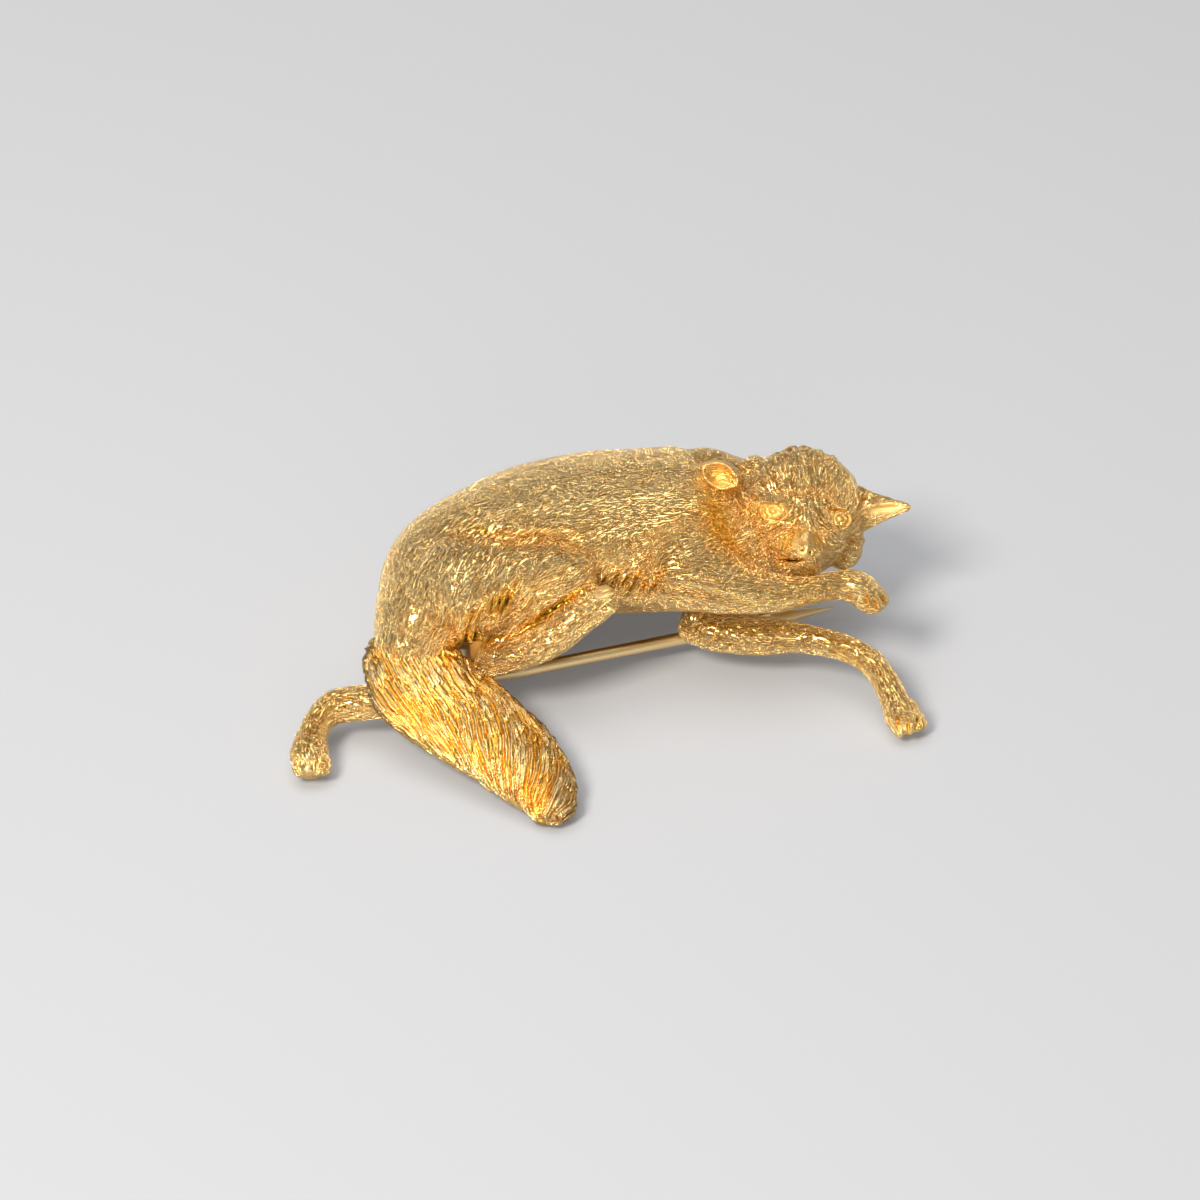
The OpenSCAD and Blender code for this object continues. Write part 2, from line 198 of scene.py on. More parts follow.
class BroochSettings(bpy.types.PropertyGroup):
    """Sizes and colours that a user would change."""

    body_grain: bpy.props.FloatProperty(
        name="Body grain", description="Mesh size of the trunk",
        default=0.13 * MM, min=0.05 * MM, unit="LENGTH",
    )
    head_grain: bpy.props.FloatProperty(
        name="Head grain", description="Mesh size of the head",
        default=0.08 * MM, min=0.04 * MM, unit="LENGTH",
    )
    leg_grain: bpy.props.FloatProperty(
        name="Leg grain", description="Mesh size of the legs",
        default=0.085 * MM, min=0.04 * MM, unit="LENGTH",
    )
    stroke_depth: bpy.props.FloatProperty(
        name="Stroke depth", description="Depth of the chased fur strokes",
        default=0.05 * MM, min=0.0, unit="LENGTH",
    )
    groove_depth: bpy.props.FloatProperty(
        name="Groove depth", description="Depth of the brush's long grooves",
        default=0.28 * MM, min=0.0, unit="LENGTH",
    )
    gold: bpy.props.FloatVectorProperty(
        name="Gold", description="Colour of the raised gold",
        subtype="COLOR", size=3, default=(1.0, 0.745, 0.32),
    )
    # Painted shade: the darker, more orange gold down in the strokes.
    stroke_shade_gold: bpy.props.FloatVectorProperty(
        name="Deep gold", description="Colour down in the strokes",
        subtype="COLOR", size=3, default=(0.62, 0.31, 0.07),
    )
    floor: bpy.props.FloatVectorProperty(
        name="Floor", description="Colour of the floor",
        subtype="COLOR", size=3, default=(0.365, 0.368, 0.38),
    )


def unit(vectors):
    """Each vector divided by its length."""
    return vectors / np.maximum(np.linalg.norm(vectors, axis=-1, keepdims=True), 1e-12)


def placed(rows):
    """Table shares to millimetres: each share less that of the box's middle, times the figure's size."""
    return (np.asarray(rows, float)[:, :3] - BOX_MIDDLE) * FIGURE


def spline(rows, count):
    """Catmull-Rom curve through the rows: a cubic for each span, of its two ends and a row on each side."""
    rows = np.asarray(rows, float)
    u = np.linspace(0, len(rows) - 1, count)
    span = np.minimum(u.astype(int), len(rows) - 2)
    t = (u - span)[:, None]
    a, b, c, d = (rows[np.clip(span + k, 0, len(rows) - 1)] for k in (-1, 0, 1, 2))
    return 0.5 * (2 * b + (c - a) * t + (2 * a - 5 * b + 4 * c - d) * t**2 + (3 * b - a - 3 * c + d) * t**3)


def limb_rows(table, half_w, half_h=None):
    """Rows of a limb: place, half width, rise, near drop, far drop. A table's last column is its rise."""
    table = np.asarray(table, float)
    rise = table[:, -1:] * (half_h or half_w)
    return np.hstack([placed(table), table[:, 3:4] * half_w, rise, rise, rise])


def trunk_rows():
    """Rows of the trunk, whose drop differs from the belly to the back."""
    sizes = np.array([TRUNK_HALF_W, FLANK_H, BELLY_DROP, BACK_DROP])
    return np.hstack([placed(TRUNK), np.asarray(TRUNK)[:, 3:] * sizes])


def head_rows(table):
    """Rows of the head in its own frame: right is x, the face looks along minus y, the crown is z."""
    t = np.asarray(table, float)
    zero = np.zeros(len(t))
    place = np.stack([zero, -t[:, 0] * HEAD_LEN, t[:, 1] * HEAD_HALF_H], 1)
    throat = t[:, 4:5] * HEAD_HALF_H
    return np.hstack([place, t[:, 2:3] * HEAD_HALF_W, t[:, 3:4] * HEAD_HALF_H, throat, throat])


def loft_grid(rows, rings, points, cap_rings):
    """Grid of a tube: each ring is a cosine across by a sine up, square to the way that the tube runs.

    Past each end the rings shrink as a quarter circle, so the tube is closed by a round cap.
    Gives the ring centres, ways, sides, rises, sizes and the angle round each ring.
    """
    line = spline(rows, rings)
    way = unit(np.gradient(line[:, :3], axis=0))
    turn = np.radians(90 * np.arange(1, cap_rings + 1) / (cap_rings + 1))
    first, last = min(line[0, 3], line[0, 4]), min(line[-1, 3], line[-1, 4])
    centre = np.vstack([
        line[0, :3] - way[0] * first * np.cos(turn)[:, None],
        line[:, :3],
        line[-1, :3] + way[-1] * last * np.cos(turn[::-1])[:, None],
    ])
    scale = np.concatenate([np.sin(turn), np.ones(rings), np.sin(turn[::-1])])
    index = np.concatenate([np.zeros(cap_rings, int), np.arange(rings), np.full(cap_rings, rings - 1)])
    way, sizes = way[index], line[index, 3:7] * scale[:, None]
    side = unit(np.cross([0.0, 0.0, 1.0], way))
    rise = np.cross(way, side)
    angle = np.arange(points) * 2 * math.pi / points
    tips = (line[0, :3] - way[0] * first, line[-1, :3] + way[-1] * last)
    return centre, way, side, rise, sizes, angle, tips


def ring_points(centre, side, rise, sizes, angle):
    """Points of every ring: half width times the cosine across, and rise or drop times the sine up."""
    cos, sin = np.cos(angle), np.sin(angle)
    drop = sizes[:, 2:3] + (sizes[:, 3:4] - sizes[:, 2:3]) * (1 + cos) / 2
    tall = np.where(sin > 0, sizes[:, 1:2], drop) * sin
    wide = sizes[:, 0:1] * cos
    return centre[:, None] + side[:, None] * wide[..., None] + rise[:, None] * tall[..., None]


def tube_faces(rings, points):
    """Quads between neighbouring rings, and a fan of triangles to each tip, the last two points."""
    ring, step = np.meshgrid(np.arange(rings - 1), np.arange(points), indexing="ij")
    after = (step + 1) % points
    quads = np.stack([ring * points + step, ring * points + after,
                      (ring + 1) * points + after, (ring + 1) * points + step], -1).reshape(-1, 4)
    step = np.arange(points)
    after = (step + 1) % points
    base = (rings - 1) * points
    total = rings * points
    tris = np.vstack([
        np.stack([np.full(points, total), after, step], 1),
        np.stack([np.full(points, total + 1), base + step, base + after], 1),
    ])
    return quads, tris


def loft(rows, rings, points, cap_rings=CAP_RINGS):
    """Closed tube through the rows, as points, quads and triangles."""
    centre, _, side, rise, sizes, angle, tips = loft_grid(rows, rings, points, cap_rings)
    grid = ring_points(centre, side, rise, sizes, angle)
    quads, tris = tube_faces(len(grid), points)
    return np.vstack([grid.reshape(-1, 3), tips]), quads, tris


def ball(middle, radii, turn=None):
    """Ellipsoid: sine and cosine of latitude and longitude times the three radii, turned by a matrix."""
    lat = np.linspace(-math.pi / 2, math.pi / 2, BALL_POINTS // 2 + 1)[1:-1]
    lon = np.arange(BALL_POINTS) * 2 * math.pi / BALL_POINTS
    out, up = np.cos(lat)[:, None], np.sin(lat)[:, None]
    shape = np.stack([out * np.cos(lon), out * np.sin(lon), up + 0 * lon], -1).reshape(-1, 3)
    shape = np.vstack([shape, [0, 0, -1], [0, 0, 1]]) * np.asarray(radii, float)
    if turn is not None:
        shape = shape @ np.asarray(turn).T
    quads, tris = tube_faces(len(lat), BALL_POINTS)
    return shape + np.asarray(middle, float), quads, tris


def toe_forms(table):
    """Four long toes fanned round the end of a limb, each a stretched ellipsoid."""
    ends = placed(table[-2:])
    way = unit(ends[1] - ends[0])
    side = unit(np.cross([0, 0, 1.0], way))
    rise = np.cross(way, side)
    turn = np.stack([way, side, rise], 1)
    forms = []
    for i in (-1.5, -0.5, 0.5, 1.5):
        middle = ends[1] + way * LEG_R * (0.62 - 0.06 * i * i) + side * i * TOE_R * TOE_SPREAD
        middle = middle + rise * LEG_R * (0.3 - 0.1 * i * i)
        forms.append(ball(middle, (LEG_R * 0.72, TOE_R * 0.98, TOE_R * 1.05), turn))
    return forms


def mesh_of(name, points, quads, tris=None):
    """A mesh made of whole arrays."""
    tris = np.zeros((0, 3), int) if tris is None else tris
    loops = np.concatenate([quads.ravel(), tris.ravel()]).astype(np.int32)
    starts = np.concatenate([np.arange(len(quads)) * 4, len(quads) * 4 + np.arange(len(tris)) * 3])
    starts = starts.astype(np.int32)
    mesh = bpy.data.meshes.new(name)
    mesh.vertices.add(len(points))
    mesh.vertices.foreach_set("co", np.asarray(points, np.float32).ravel())
    mesh.loops.add(len(loops))
    mesh.loops.foreach_set("vertex_index", loops)
    mesh.polygons.add(len(starts))
    mesh.polygons.foreach_set("loop_start", starts)
    mesh.update(calc_edges=True)
    return mesh


def joined(forms):
    """Several closed forms in one set of points, quads and triangles."""
    points, quads, tris, count = [], [], [], 0
    for p, q, t in forms:
        points.append(p)
        quads.append(q + count)
        tris.append(t + count)
        count += len(p)
    return np.vstack(points), np.vstack(quads), np.vstack(tris)


def added(name, data):
    """A new object in the scene."""
    thing = bpy.data.objects.new(name, data)
    bpy.context.scene.collection.objects.link(thing)
    return thing


def modified(mesh, add):
    """The mesh after the modifiers that add() puts on it, made real."""
    thing = added("shaping", mesh)
    add(thing)
    graph = bpy.context.evaluated_depsgraph_get()
    result = bpy.data.meshes.new_from_object(thing.evaluated_get(graph))
    bpy.data.objects.remove(thing)
    bpy.data.meshes.remove(mesh)
    return result


def fused(forms, grain):
    """Closed forms melted into one even skin of quads, by a voxel remesh in millimetres."""

    def add(thing):
        remesh = thing.modifiers.new("fuse", "REMESH")
        remesh.mode = "VOXEL"
        remesh.voxel_size = grain / MM
        remesh.adaptivity = 0.0

    mesh = modified(mesh_of("fusing", *joined(forms)), add)
    points = np.zeros(len(mesh.vertices) * 3, np.float32)
    mesh.vertices.foreach_get("co", points)
    loops = np.zeros(len(mesh.loops), np.int32)
    mesh.loops.foreach_get("vertex_index", loops)
    bpy.data.meshes.remove(mesh)
    return Skin(points.reshape(-1, 3).astype(float), loops.reshape(-1, 4))


class Skin:
    """One closed surface in millimetres: points, quads, and the way and depth of the fur at each point; the
    depth also carries painted shade and painted highlight.
    """

    def __init__(self, points, quads, tris=None):
        self.points, self.quads = points, quads
        self.tris = np.zeros((0, 3), int) if tris is None else tris
        self.way = np.tile([1.0, 0.0, 0.0], (len(points), 1))
        self.depth = np.zeros(len(points))
        self.tint_and_shade = np.zeros(len(points))
        self.bare = np.zeros(len(points))
        self.pairs = np.vstack([quads[:, [0, 1]], quads[:, [1, 2]], quads[:, [2, 3]], quads[:, [3, 0]]])

    def normals(self):
        """Sum of each face's cross product of its diagonals at its corners, made unit length."""
        p, q, t = self.points, self.quads, self.tris
        total = np.zeros_like(p)
        square = np.cross(p[q[:, 2]] - p[q[:, 0]], p[q[:, 3]] - p[q[:, 1]])
        flat = np.cross(p[t[:, 1]] - p[t[:, 0]], p[t[:, 2]] - p[t[:, 0]])
        for faces, cross in ((q, square), (t, flat)):
            for corner in faces.T:
                for axis in range(3):
                    total[:, axis] += np.bincount(corner, cross[:, axis], len(p))
        return unit(total)

    def spread(self, values):
        """The mean of each point's neighbours' values."""
        a, b = self.pairs[:, 0], self.pairs[:, 1]
        count = np.bincount(a, minlength=len(self.points)) + np.bincount(b, minlength=len(self.points))
        out = np.empty_like(values)
        for axis in range(values.shape[1]):
            v = values[:, axis]
            out[:, axis] = np.bincount(a, v[b], len(v)) + np.bincount(b, v[a], len(v))
        return out / np.maximum(count, 1)[:, None]

    def relax(self, rounds, where=1.0):
        """Each round moves a point half way to its neighbours' mean, by the share that where gives."""
        share = 0.5 * (where[:, None] if np.ndim(where) else where)
        for _ in range(rounds):
            self.points = self.points + (self.spread(self.points) - self.points) * share

    def lay(self, way):
        """Sets the way of the fur: each vector less its part along the normal, made unit length."""
        normal = self.normals()
        self.way = unit(way - normal * np.sum(way * normal, 1)[:, None])

    def push(self, height):
        """Moves each point out along its normal."""
        self.points = self.points + self.normals() * height[:, None]


def lattice(x, y, z, seed):
    """A number between -1 and 1 for each cell, mixed from its three whole coordinates and the seed."""
    h = (x * 73856093) ^ (y * 19349663) ^ (z * 83492791) ^ (seed * 2654435761)
    h = ((h ^ (h >> 13)) * 1274126177) & 0xFFFFFFFF
    h = ((h ^ (h >> 15)) * 2246822519) & 0xFFFFFFFF
    return ((h ^ (h >> 16)) & 0xFFFF) / 32768.0 - 1.0


def noise(places, seed):
    """Smooth noise: the lattice's numbers blended with a cubic ease along each axis."""
    cell = np.floor(places).astype(np.int64)
    f = places - cell
    f = f * f * (3 - 2 * f)
    x, y, z = cell.T
    out = 0.0
    shares = (1 - f, f)
    for i in (0, 1):
        for j in (0, 1):
            for k in (0, 1):
                share = shares[i][:, 0] * shares[j][:, 1] * shares[k][:, 2]
                out = out + share * lattice(x + i, y + j, z + k, seed)
    return out


def noise_flat(s, t, seed):
    """The same noise over two coordinates."""
    return noise(np.stack([s, t, np.full_like(s, 0.5)], -1).reshape(-1, 3), seed).reshape(s.shape)


def seen(points):
    """Where the front view sees each point: millimetres right of and above its middle."""
    d = points - VIEW_TARGET
    near = VIEW_DISTANCE / (VIEW_DISTANCE - d @ BACK)
    return (d @ RIGHT) * near, (d @ UP) * near


def bell(a, b, middle_a, middle_b, spread):
    """Round bell about a place in the front view, one at its middle; its spread is its reach squared."""
    return np.exp(-((a - middle_a) ** 2 + (b - middle_b) ** 2) / spread)


def combed(skin, base, guides):
    """Way of the fur at each point: the base way, drawn towards the angle of each guide near it.

    A guide is its place in the front view, its angle in degrees, the radius of its reach and its strength.
    """
    a, b = seen(skin.points)
    total = base.copy()
    for ga, gb, angle, reach, strength in guides:
        share = strength * bell(a, b, ga, gb, reach**2)
        q = math.radians(angle)
        total += share[:, None] * (math.cos(q) * RIGHT + math.sin(q) * UP)
    skin.lay(total)


def spot_bells(skin, spots):
    """A long bell for each spot: its place in the front view, angle, half length, half width and height."""
    a, b = seen(skin.points)
    for sa, sb, angle, long, wide, height in spots:
        q = math.radians(angle)
        u = (a - sa) * math.cos(q) + (b - sb) * math.sin(q)
        v = (b - sb) * math.cos(q) - (a - sa) * math.sin(q)
        yield height * np.exp(-((u / long) ** 2) - (v / wide) ** 2)


def spots_sum(skin, spots):
    """Sum of the spots' bells at each point."""
    total = np.zeros(len(skin.points))
    for bell in spot_bells(skin, spots):
        total += bell
    return total


def sculpted(skin, dabs):
    """Raises or sinks the skin that faces the front view under each spot."""
    skin.push(spots_sum(skin, dabs) * np.clip(2.5 * skin.normals() @ BACK, 0, 1))


def tinted_and_shaded(skin, spots):
    """Adds tint and painted shade near each spot: up to one it is deeper yellow, and past one it is dark, as
    painted shade.
    """
    skin.tint_and_shade = np.clip(skin.tint_and_shade + spots_sum(skin, spots), 0, 2)


def bared(skin, spots):
    """Marks metal that faces the front view as left smooth, by the highest bell at each point."""
    front = skin.normals() @ BACK > 0
    for bell in spot_bells(skin, spots):
        skin.bare = np.maximum(skin.bare, bell * front)


def view_ball(a, b, near, radii, angle=0.0):
    """Ellipsoid placed as the front view sees it: right, up and near, with its radii in the same order."""
    c, s = math.cos(math.radians(angle)), math.sin(math.radians(angle))
    turn = np.stack([RIGHT * c + UP * s, UP * c - RIGHT * s, BACK], 1)
    return ball(VIEW_TARGET + RIGHT * a + UP * b + BACK * near, radii, turn)


def view_disc(skin, place, depth, spin, profile):
    """Small disc laid on the skin where the front view sees it, spun about its normal.

    Its place is right and up in the front view, then its half width and half height. Without a depth it
    lies as near as the skin round its edge. Its rings follow the profile, drawn in at both ends as an almond.
    """
    a, b, wide, tall = place
    sa, sb = seen(skin.points)
    normal = skin.normals()
    near = ((sa - a) / wide) ** 2 + ((sb - b) / tall) ** 2
    rim = (normal @ BACK > 0.2) & (near < DISC_RIM[1]) & (near > DISC_RIM[0])
    if depth is None:
        depth = np.median((skin.points[rim] - VIEW_TARGET) @ BACK)
    way = unit(BACK + unit(normal[rim].mean(0)))
    q = math.radians(spin)
    across = RIGHT * math.cos(q) + UP * math.sin(q)
    across = unit(across - way * (across @ way))
    up = np.cross(way, across)
    radius, height = spline(profile, DISC_RINGS).T
    turn = np.arange(DISC_POINTS) * 2 * math.pi / DISC_POINTS
    flat = across * (np.cos(turn) * wide)[:, None]
    flat = flat + up * (np.sin(turn) * tall * (1 - ALMOND * np.cos(turn) ** 2))[:, None]
    middle = VIEW_TARGET + RIGHT * a + UP * b + BACK * depth
    grid = middle + radius[1:, None, None] * flat + way * height[1:, None, None]
    quads, tris = tube_faces(len(grid), DISC_POINTS)
    tips = (middle + way * height[0], middle + way * (height[-1] - 0.1))
    disc = Skin(np.vstack([grid.reshape(-1, 3), tips]), quads[:, ::-1], tris[:, ::-1])
    disc.middle, disc.face = middle, way
    return disc


def strokes(skin, width, reach, seed):
    """Chased strokes: noise of the stroke's width, averaged along the fur's way over its reach.

    The sum is divided by its own spread, so the height is the same for every width.
    """
    total = 0.0
    for s in np.linspace(-1, 1, STROKE_TAPS):
        weight = math.cos(0.45 * math.pi * s)
        total = total + weight * noise((skin.points + skin.way * (reach * s)) / width, seed)
    total = total / total.std()
    return np.clip(total, -2.0, 1.6)


def nearest_row(points, line):
    """Index of the nearest sample of a line for each point, found in blocks."""
    found = np.empty(len(points), int)
    for start in range(0, len(points), 20000):
        block = points[start:start + 20000]
        gap = ((block[:, None] - line[None]) ** 2).sum(-1)
        found[start:start + 20000] = gap.argmin(1)
    return found


def along_limbs(points, limbs, samples):
    """The limbs' own way at each point, from the nearest place on their lines."""
    lines = [spline(rows, samples)[:, :3] for rows in limbs]
    way = np.vstack([unit(np.gradient(line, axis=0)) for line in lines])
    return way[nearest_row(points, np.vstack(lines))]


def shown(name, mesh, material, smooth=True):
    """Shows a mesh made in millimetres, in metres, on the brooch and in place of the plain fox."""
    mesh.transform(Matrix.Scale(MM, 4))
    mesh.name = name
    mesh.polygons.foreach_set("use_smooth", np.full(len(mesh.polygons), smooth))
    mesh.materials.clear()
    mesh.materials.append(material)
    piece = added(name, mesh)
    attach(piece, "brooch")
    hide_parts("fox_figure")
    return piece


def shown_halves(name, mesh, material):
    """Shows a large mesh as two pieces that meet edge to edge at the middle of its length."""
    for end, side in (("rear", -1), ("front", 1)):
        half = mesh.copy()
        work = bmesh.new()
        work.from_mesh(half)
        gone = [f for f in work.faces if (f.calc_center_median().x - TRUNK_SPLIT) * side < 0]
        bmesh.ops.delete(work, geom=gone, context="FACES")
        work.to_mesh(half)
        work.free()
        shown(name + "_" + end, half, material)
    bpy.data.meshes.remove(mesh)


def skin_mesh(skin, name):
    """The skin's mesh, with the fur's way and depth as attributes that the gold reads; the depth carries
    painted shade and highlight, and the tint carries painted shade.
    """
    points = skin.points.copy()
    points[:, 2] = np.maximum(points[:, 2], 0.0)
    mesh = mesh_of(name, points, skin.quads, skin.tris)
    way = mesh.attributes.new("fur_way", "FLOAT_VECTOR", "POINT")
    way.data.foreach_set("vector", skin.way.astype(np.float32).ravel())
    for layer, values in (("fur_depth_and_shade", skin.depth), ("fur_tint_and_shade", skin.tint_and_shade), ("fur_bare", skin.bare)):
        depth = mesh.attributes.new(layer, "FLOAT", "POINT")
        depth.data.foreach_set("value", values.astype(np.float32))
    return mesh


def linear(colour):
    """sRGB hex text to linear red, green, blue and alpha."""
    parts = [int(colour[i:i + 2], 16) / 255 for i in (1, 3, 5)]
    return tuple(c / 12.92 if c <= 0.04045 else ((c + 0.055) / 1.055) ** 2.4 for c in parts) + (1.0,)


def node(tree, kind, settings=None, out=0, **inputs):
    """Adds a shader node, sets or links its inputs by name or number, and gives one of its outputs."""
    made = tree.nodes.new("ShaderNode" + kind)
    for key, value in (settings or {}).items():
        setattr(made, key, value)
    for key, value in inputs.items():
        number = key[1:] if key[0] == "_" else ""
        socket = made.inputs[int(number) if number.isdigit() else key.replace("_", " ")]
        if isinstance(value, bpy.types.NodeSocket):
            tree.links.new(value, socket)
        else:
            socket.default_value = value
    return made.outputs[out]


def ranged(tree, value, low, high, to_low=0.0, to_high=1.0):
    """A value carried from one range to another."""
    return node(tree, "MapRange", Value=value, From_Min=low, From_Max=high, To_Min=to_low, To_Max=to_high)


def mixed(tree, share, first, second, blend="MIX"):
    """Mix of two colours."""
    settings = {"data_type": "RGBA", "blend_type": blend}
    return node(tree, "Mix", settings, 2, Factor=share, _6=first, _7=second)


def new_material(name):
    """An empty material and its nodes."""
    material = bpy.data.materials.new(name)
    material.use_nodes = True
    material.node_tree.nodes.clear()
    return material, material.node_tree


def surfaced(tree, **inputs):
    """Gives the material one surface with these inputs."""
    output = tree.nodes.new("ShaderNodeOutputMaterial")
    tree.links.new(node(tree, "BsdfPrincipled", **inputs), output.inputs["Surface"])


def chased_gold(name, stroke_mm, reach_mm, bump_mm, rough, relief=0.4, stroke_shade=None, raised=None):
    """18 carat yellow gold, cast, chased with a fine liner and left unpolished in the strokes.

    Raised fur is satin and yellow; down in the strokes the gold is painted orange and dark, as painted shade
    and gold inter-reflection.
    The finest strokes are noise of their own width, averaged along the fur's way as the larger ones are.
    """
    settings = bpy.context.scene.brooch
    stroke_shade = stroke_shade or tuple(settings.stroke_shade_gold)
    raised = raised or tuple(settings.gold)
    material, tree = new_material(name)
    place = node(tree, "TexCoord", out="Object")
    place = node(tree, "VectorMath", {"operation": "SCALE"}, _0=place, Scale=1 / MM)
    way = node(tree, "Attribute", {"attribute_name": "fur_way"}, "Vector")
    depth, tint_and_shade, bare = (
        node(tree, "Attribute", {"attribute_name": layer}, "Fac")
        for layer in ("fur_depth_and_shade", "fur_tint_and_shade", "fur_bare")
    )
    total = None
    for s in (-1.0, -0.5, 0.0, 0.5, 1.0):
        step = node(tree, "VectorMath", {"operation": "SCALE"}, _0=way, Scale=reach_mm * s)
        spot = node(tree, "VectorMath", {"operation": "ADD"}, _0=place, _1=step)
        grain = node(tree, "TexNoise", Vector=spot, Scale=1 / stroke_mm, Detail=0.0)
        total = grain if total is None else node(tree, "Math", {"operation": "ADD"}, _0=total, _1=grain)
    fine = ranged(tree, total, 1.97, 2.85)
    patch = node(tree, "TexNoise", Vector=place, Scale=0.35, Detail=2.0)
    # Painted shade and painted highlight: the fur's depth, with its shade spots, mixes the gold from the
    # stroke shade colour to the raised colour.
    lift = ranged(tree, depth, -1.7, 1.4, 0.0, relief)
    plain = node(tree, "Mix", {"data_type": "FLOAT"}, Factor=bare, _2=fine, _3=0.55)
    lift = node(tree, "Math", {"operation": "MULTIPLY_ADD"}, _0=plain, _1=1.1 - relief, _2=lift)
    tone = mixed(tree, lift, stroke_shade + (1,), raised + (1,))
    # Deeper yellow tint up to a tint of one; past one, painted shade towards a near black brown.
    yellow_tint = mixed(tree, 1.0, tone, (1.0, 0.80, 0.25, 1), "MULTIPLY")
    tone = mixed(tree, tint_and_shade, tone, yellow_tint)
    tone = mixed(tree, ranged(tree, tint_and_shade, 1.0, 2.0), tone, linear("#2a1a0c"))
    dull = ranged(tree, patch, 0.3, 0.7, rough - 0.05, rough + 0.06)
    dull = node(tree, "Math", {"operation": "MULTIPLY_ADD"}, _0=bare, _1=0.20, _2=dull)
    strength = node(tree, "Math", {"operation": "SUBTRACT", "use_clamp": True}, _0=1.0, _1=bare)
    bump = node(tree, "Bump", Strength=strength, Distance=bump_mm * MM, Height=fine)
    surfaced(tree, Base_Color=tone, Metallic=1.0, Roughness=dull, Normal=bump)
    return material


def polished_gold():
    """18 carat gold wire and sheet, drawn and polished: a clear shine with faint draw lines."""
    material, tree = new_material("polished gold")
    place = node(tree, "TexCoord", out="Object")
    drawn = node(tree, "Mapping", Vector=place, Scale=(300.0, 300.0, 2500.0))
    lines = node(tree, "TexNoise", Vector=drawn, Scale=1.0, Detail=2.0)
    rough = ranged(tree, lines, 0.0, 1.0, 0.28, 0.40)
    bump = node(tree, "Bump", Strength=0.25, Distance=0.01 * MM, Height=lines)
    surfaced(tree, Base_Color=linear("#ffe0a4"), Metallic=1.0, Roughness=rough, Normal=bump)
    return material


def backdrop_paper():
    """Matt sheet of a light table, lit a little from below."""
    material, tree = new_material("backdrop paper")
    colour = tuple(bpy.context.scene.brooch.floor) + (1,)
    surfaced(tree, Base_Color=colour, Roughness=0.9, Emission_Color=linear("#fdfdff"), Emission_Strength=0.11)
    return material


def fur_gold():
    """The one chased gold of the trunk, head and legs."""
    name = "chased gold"
    return bpy.data.materials.get(name) or chased_gold(
        name, stroke_mm=0.10, reach_mm=0.18, bump_mm=0.19, rough=0.20
    )


def turned(axis, degrees):
    """Matrix of a turn about one of the axes."""
    c, s = math.cos(math.radians(degrees)), math.sin(math.radians(degrees))
    i, j = [(1, 2), (2, 0), (0, 1)][axis]
    m = np.eye(3)
    m[i, i], m[i, j], m[j, i], m[j, j] = c, -s, s, c
    return m


def opened_core():
    """The hollow of the trunk: the middle rows drawn in by the wall and carried down past the table."""
    rows = trunk_rows()[1:-2]
    rows[:, 3] -= WALL
    rows[:, 4] -= WALL
    rows[:, 5:] = BACK_DROP + 2 * WALL
    return loft(rows, 40, 48)


def haunch_core():
    """The hollow under the haunch."""
    rows = limb_rows(HAUNCH, HAUNCH_HALF_W)[1:3]
    rows[:, 3:] -= WALL
    return loft(rows, 12, 32)


def post(form):
    """Block of metal from a finding's seat up into the figure, as its eight corners and six faces."""
    start, length, width = form
    c, s = math.cos(math.radians(PIN_TURN)), math.sin(math.radians(PIN_TURN))
    middle = BOX_MIDDLE * FIGURE
    hinge = HINGE_PLACE * FIGURE[:2] - middle[:2]
    corners = []
    for z in (SEAT_Z - middle[2], POST_TOP - middle[2]):
        for u, v in ((-1, -1), (1, -1), (1, 1), (-1, 1)):
            a, b = start + u * length / 2, v * width / 2
            corners.append((hinge[0] + a * c - b * s, hinge[1] + a * s + b * c, z))
    faces = np.array([[3, 2, 1, 0], [4, 5, 6, 7], [0, 1, 5, 4], [1, 2, 6, 5], [2, 3, 7, 6], [3, 0, 4, 7]])
    return np.array(corners), faces, np.zeros((0, 3), int)


# Ball where the neck meets the back: right, up and near in the front view, then radii and angle.
NECK = (8.8, 10.3, -2.6, (3.0, 1.6, 2.4), -12.0)

# Where the shoulder and haunch run into the trunk without a crease, in the front view: place, reach.
MELTED = [(5.0, 1.0, 2.6), (6.4, 3.2, 2.6), (9.5, 4.0, 2.4), (-13.5, 0.5, 2.5), (4.2, -0.6, 1.6)]

# Orange locks in the fold behind the haunch, in the front view: place, angle, half length.
SPIKES = [
    (-10.4, -1.4, 80, 0.40), (-9.75, -1.15, 80, 0.45), (-8.8, -0.4, 78, 0.60),
    (-8.2, -0.15, 76, 0.70), (-7.6, 0.1, 72, 0.75), (-7.1, -0.1, 61, 1.60),
    (-10.8, -2.8, 86, 0.65), (-10.1, -2.7, 84, 0.90), (-9.4, -2.8, 78, 0.80),
]

# Gaps between the toes of the upper and the lower front paw, in the front view: place, angle.
PAW_GAPS = [(22.15, 0.0, -60), (21.5, -0.25, -68), (20.85, -0.1, -78)]
TOE_GAPS = [(23.3, -9.6, 95), (24.06, -9.85, 95), (24.8, -9.6, 88)]


def tufts(start, count):
    """Places and angles of a row of belly tufts in the front view, in threes that step down."""
    return [(start + 0.55 * k, 1.9 - 0.5 * (k % 3), 52 + 5 * (k % 4)) for k in range(count)]


def marks(places, long, wide, height):
    """Spots of one size and height at these places."""
    return [(a, b, angle, long, wide, height) for a, b, angle in places]


def lock_marks(wide, height, count=None):
    """Spots over the orange locks, each of its lock's own length."""
    return [(*lock, wide, height) for lock in SPIKES[:count]]


TUFTS, TUFT_GAPS = tufts(-0.6, 11), tufts(-0.35, 10)

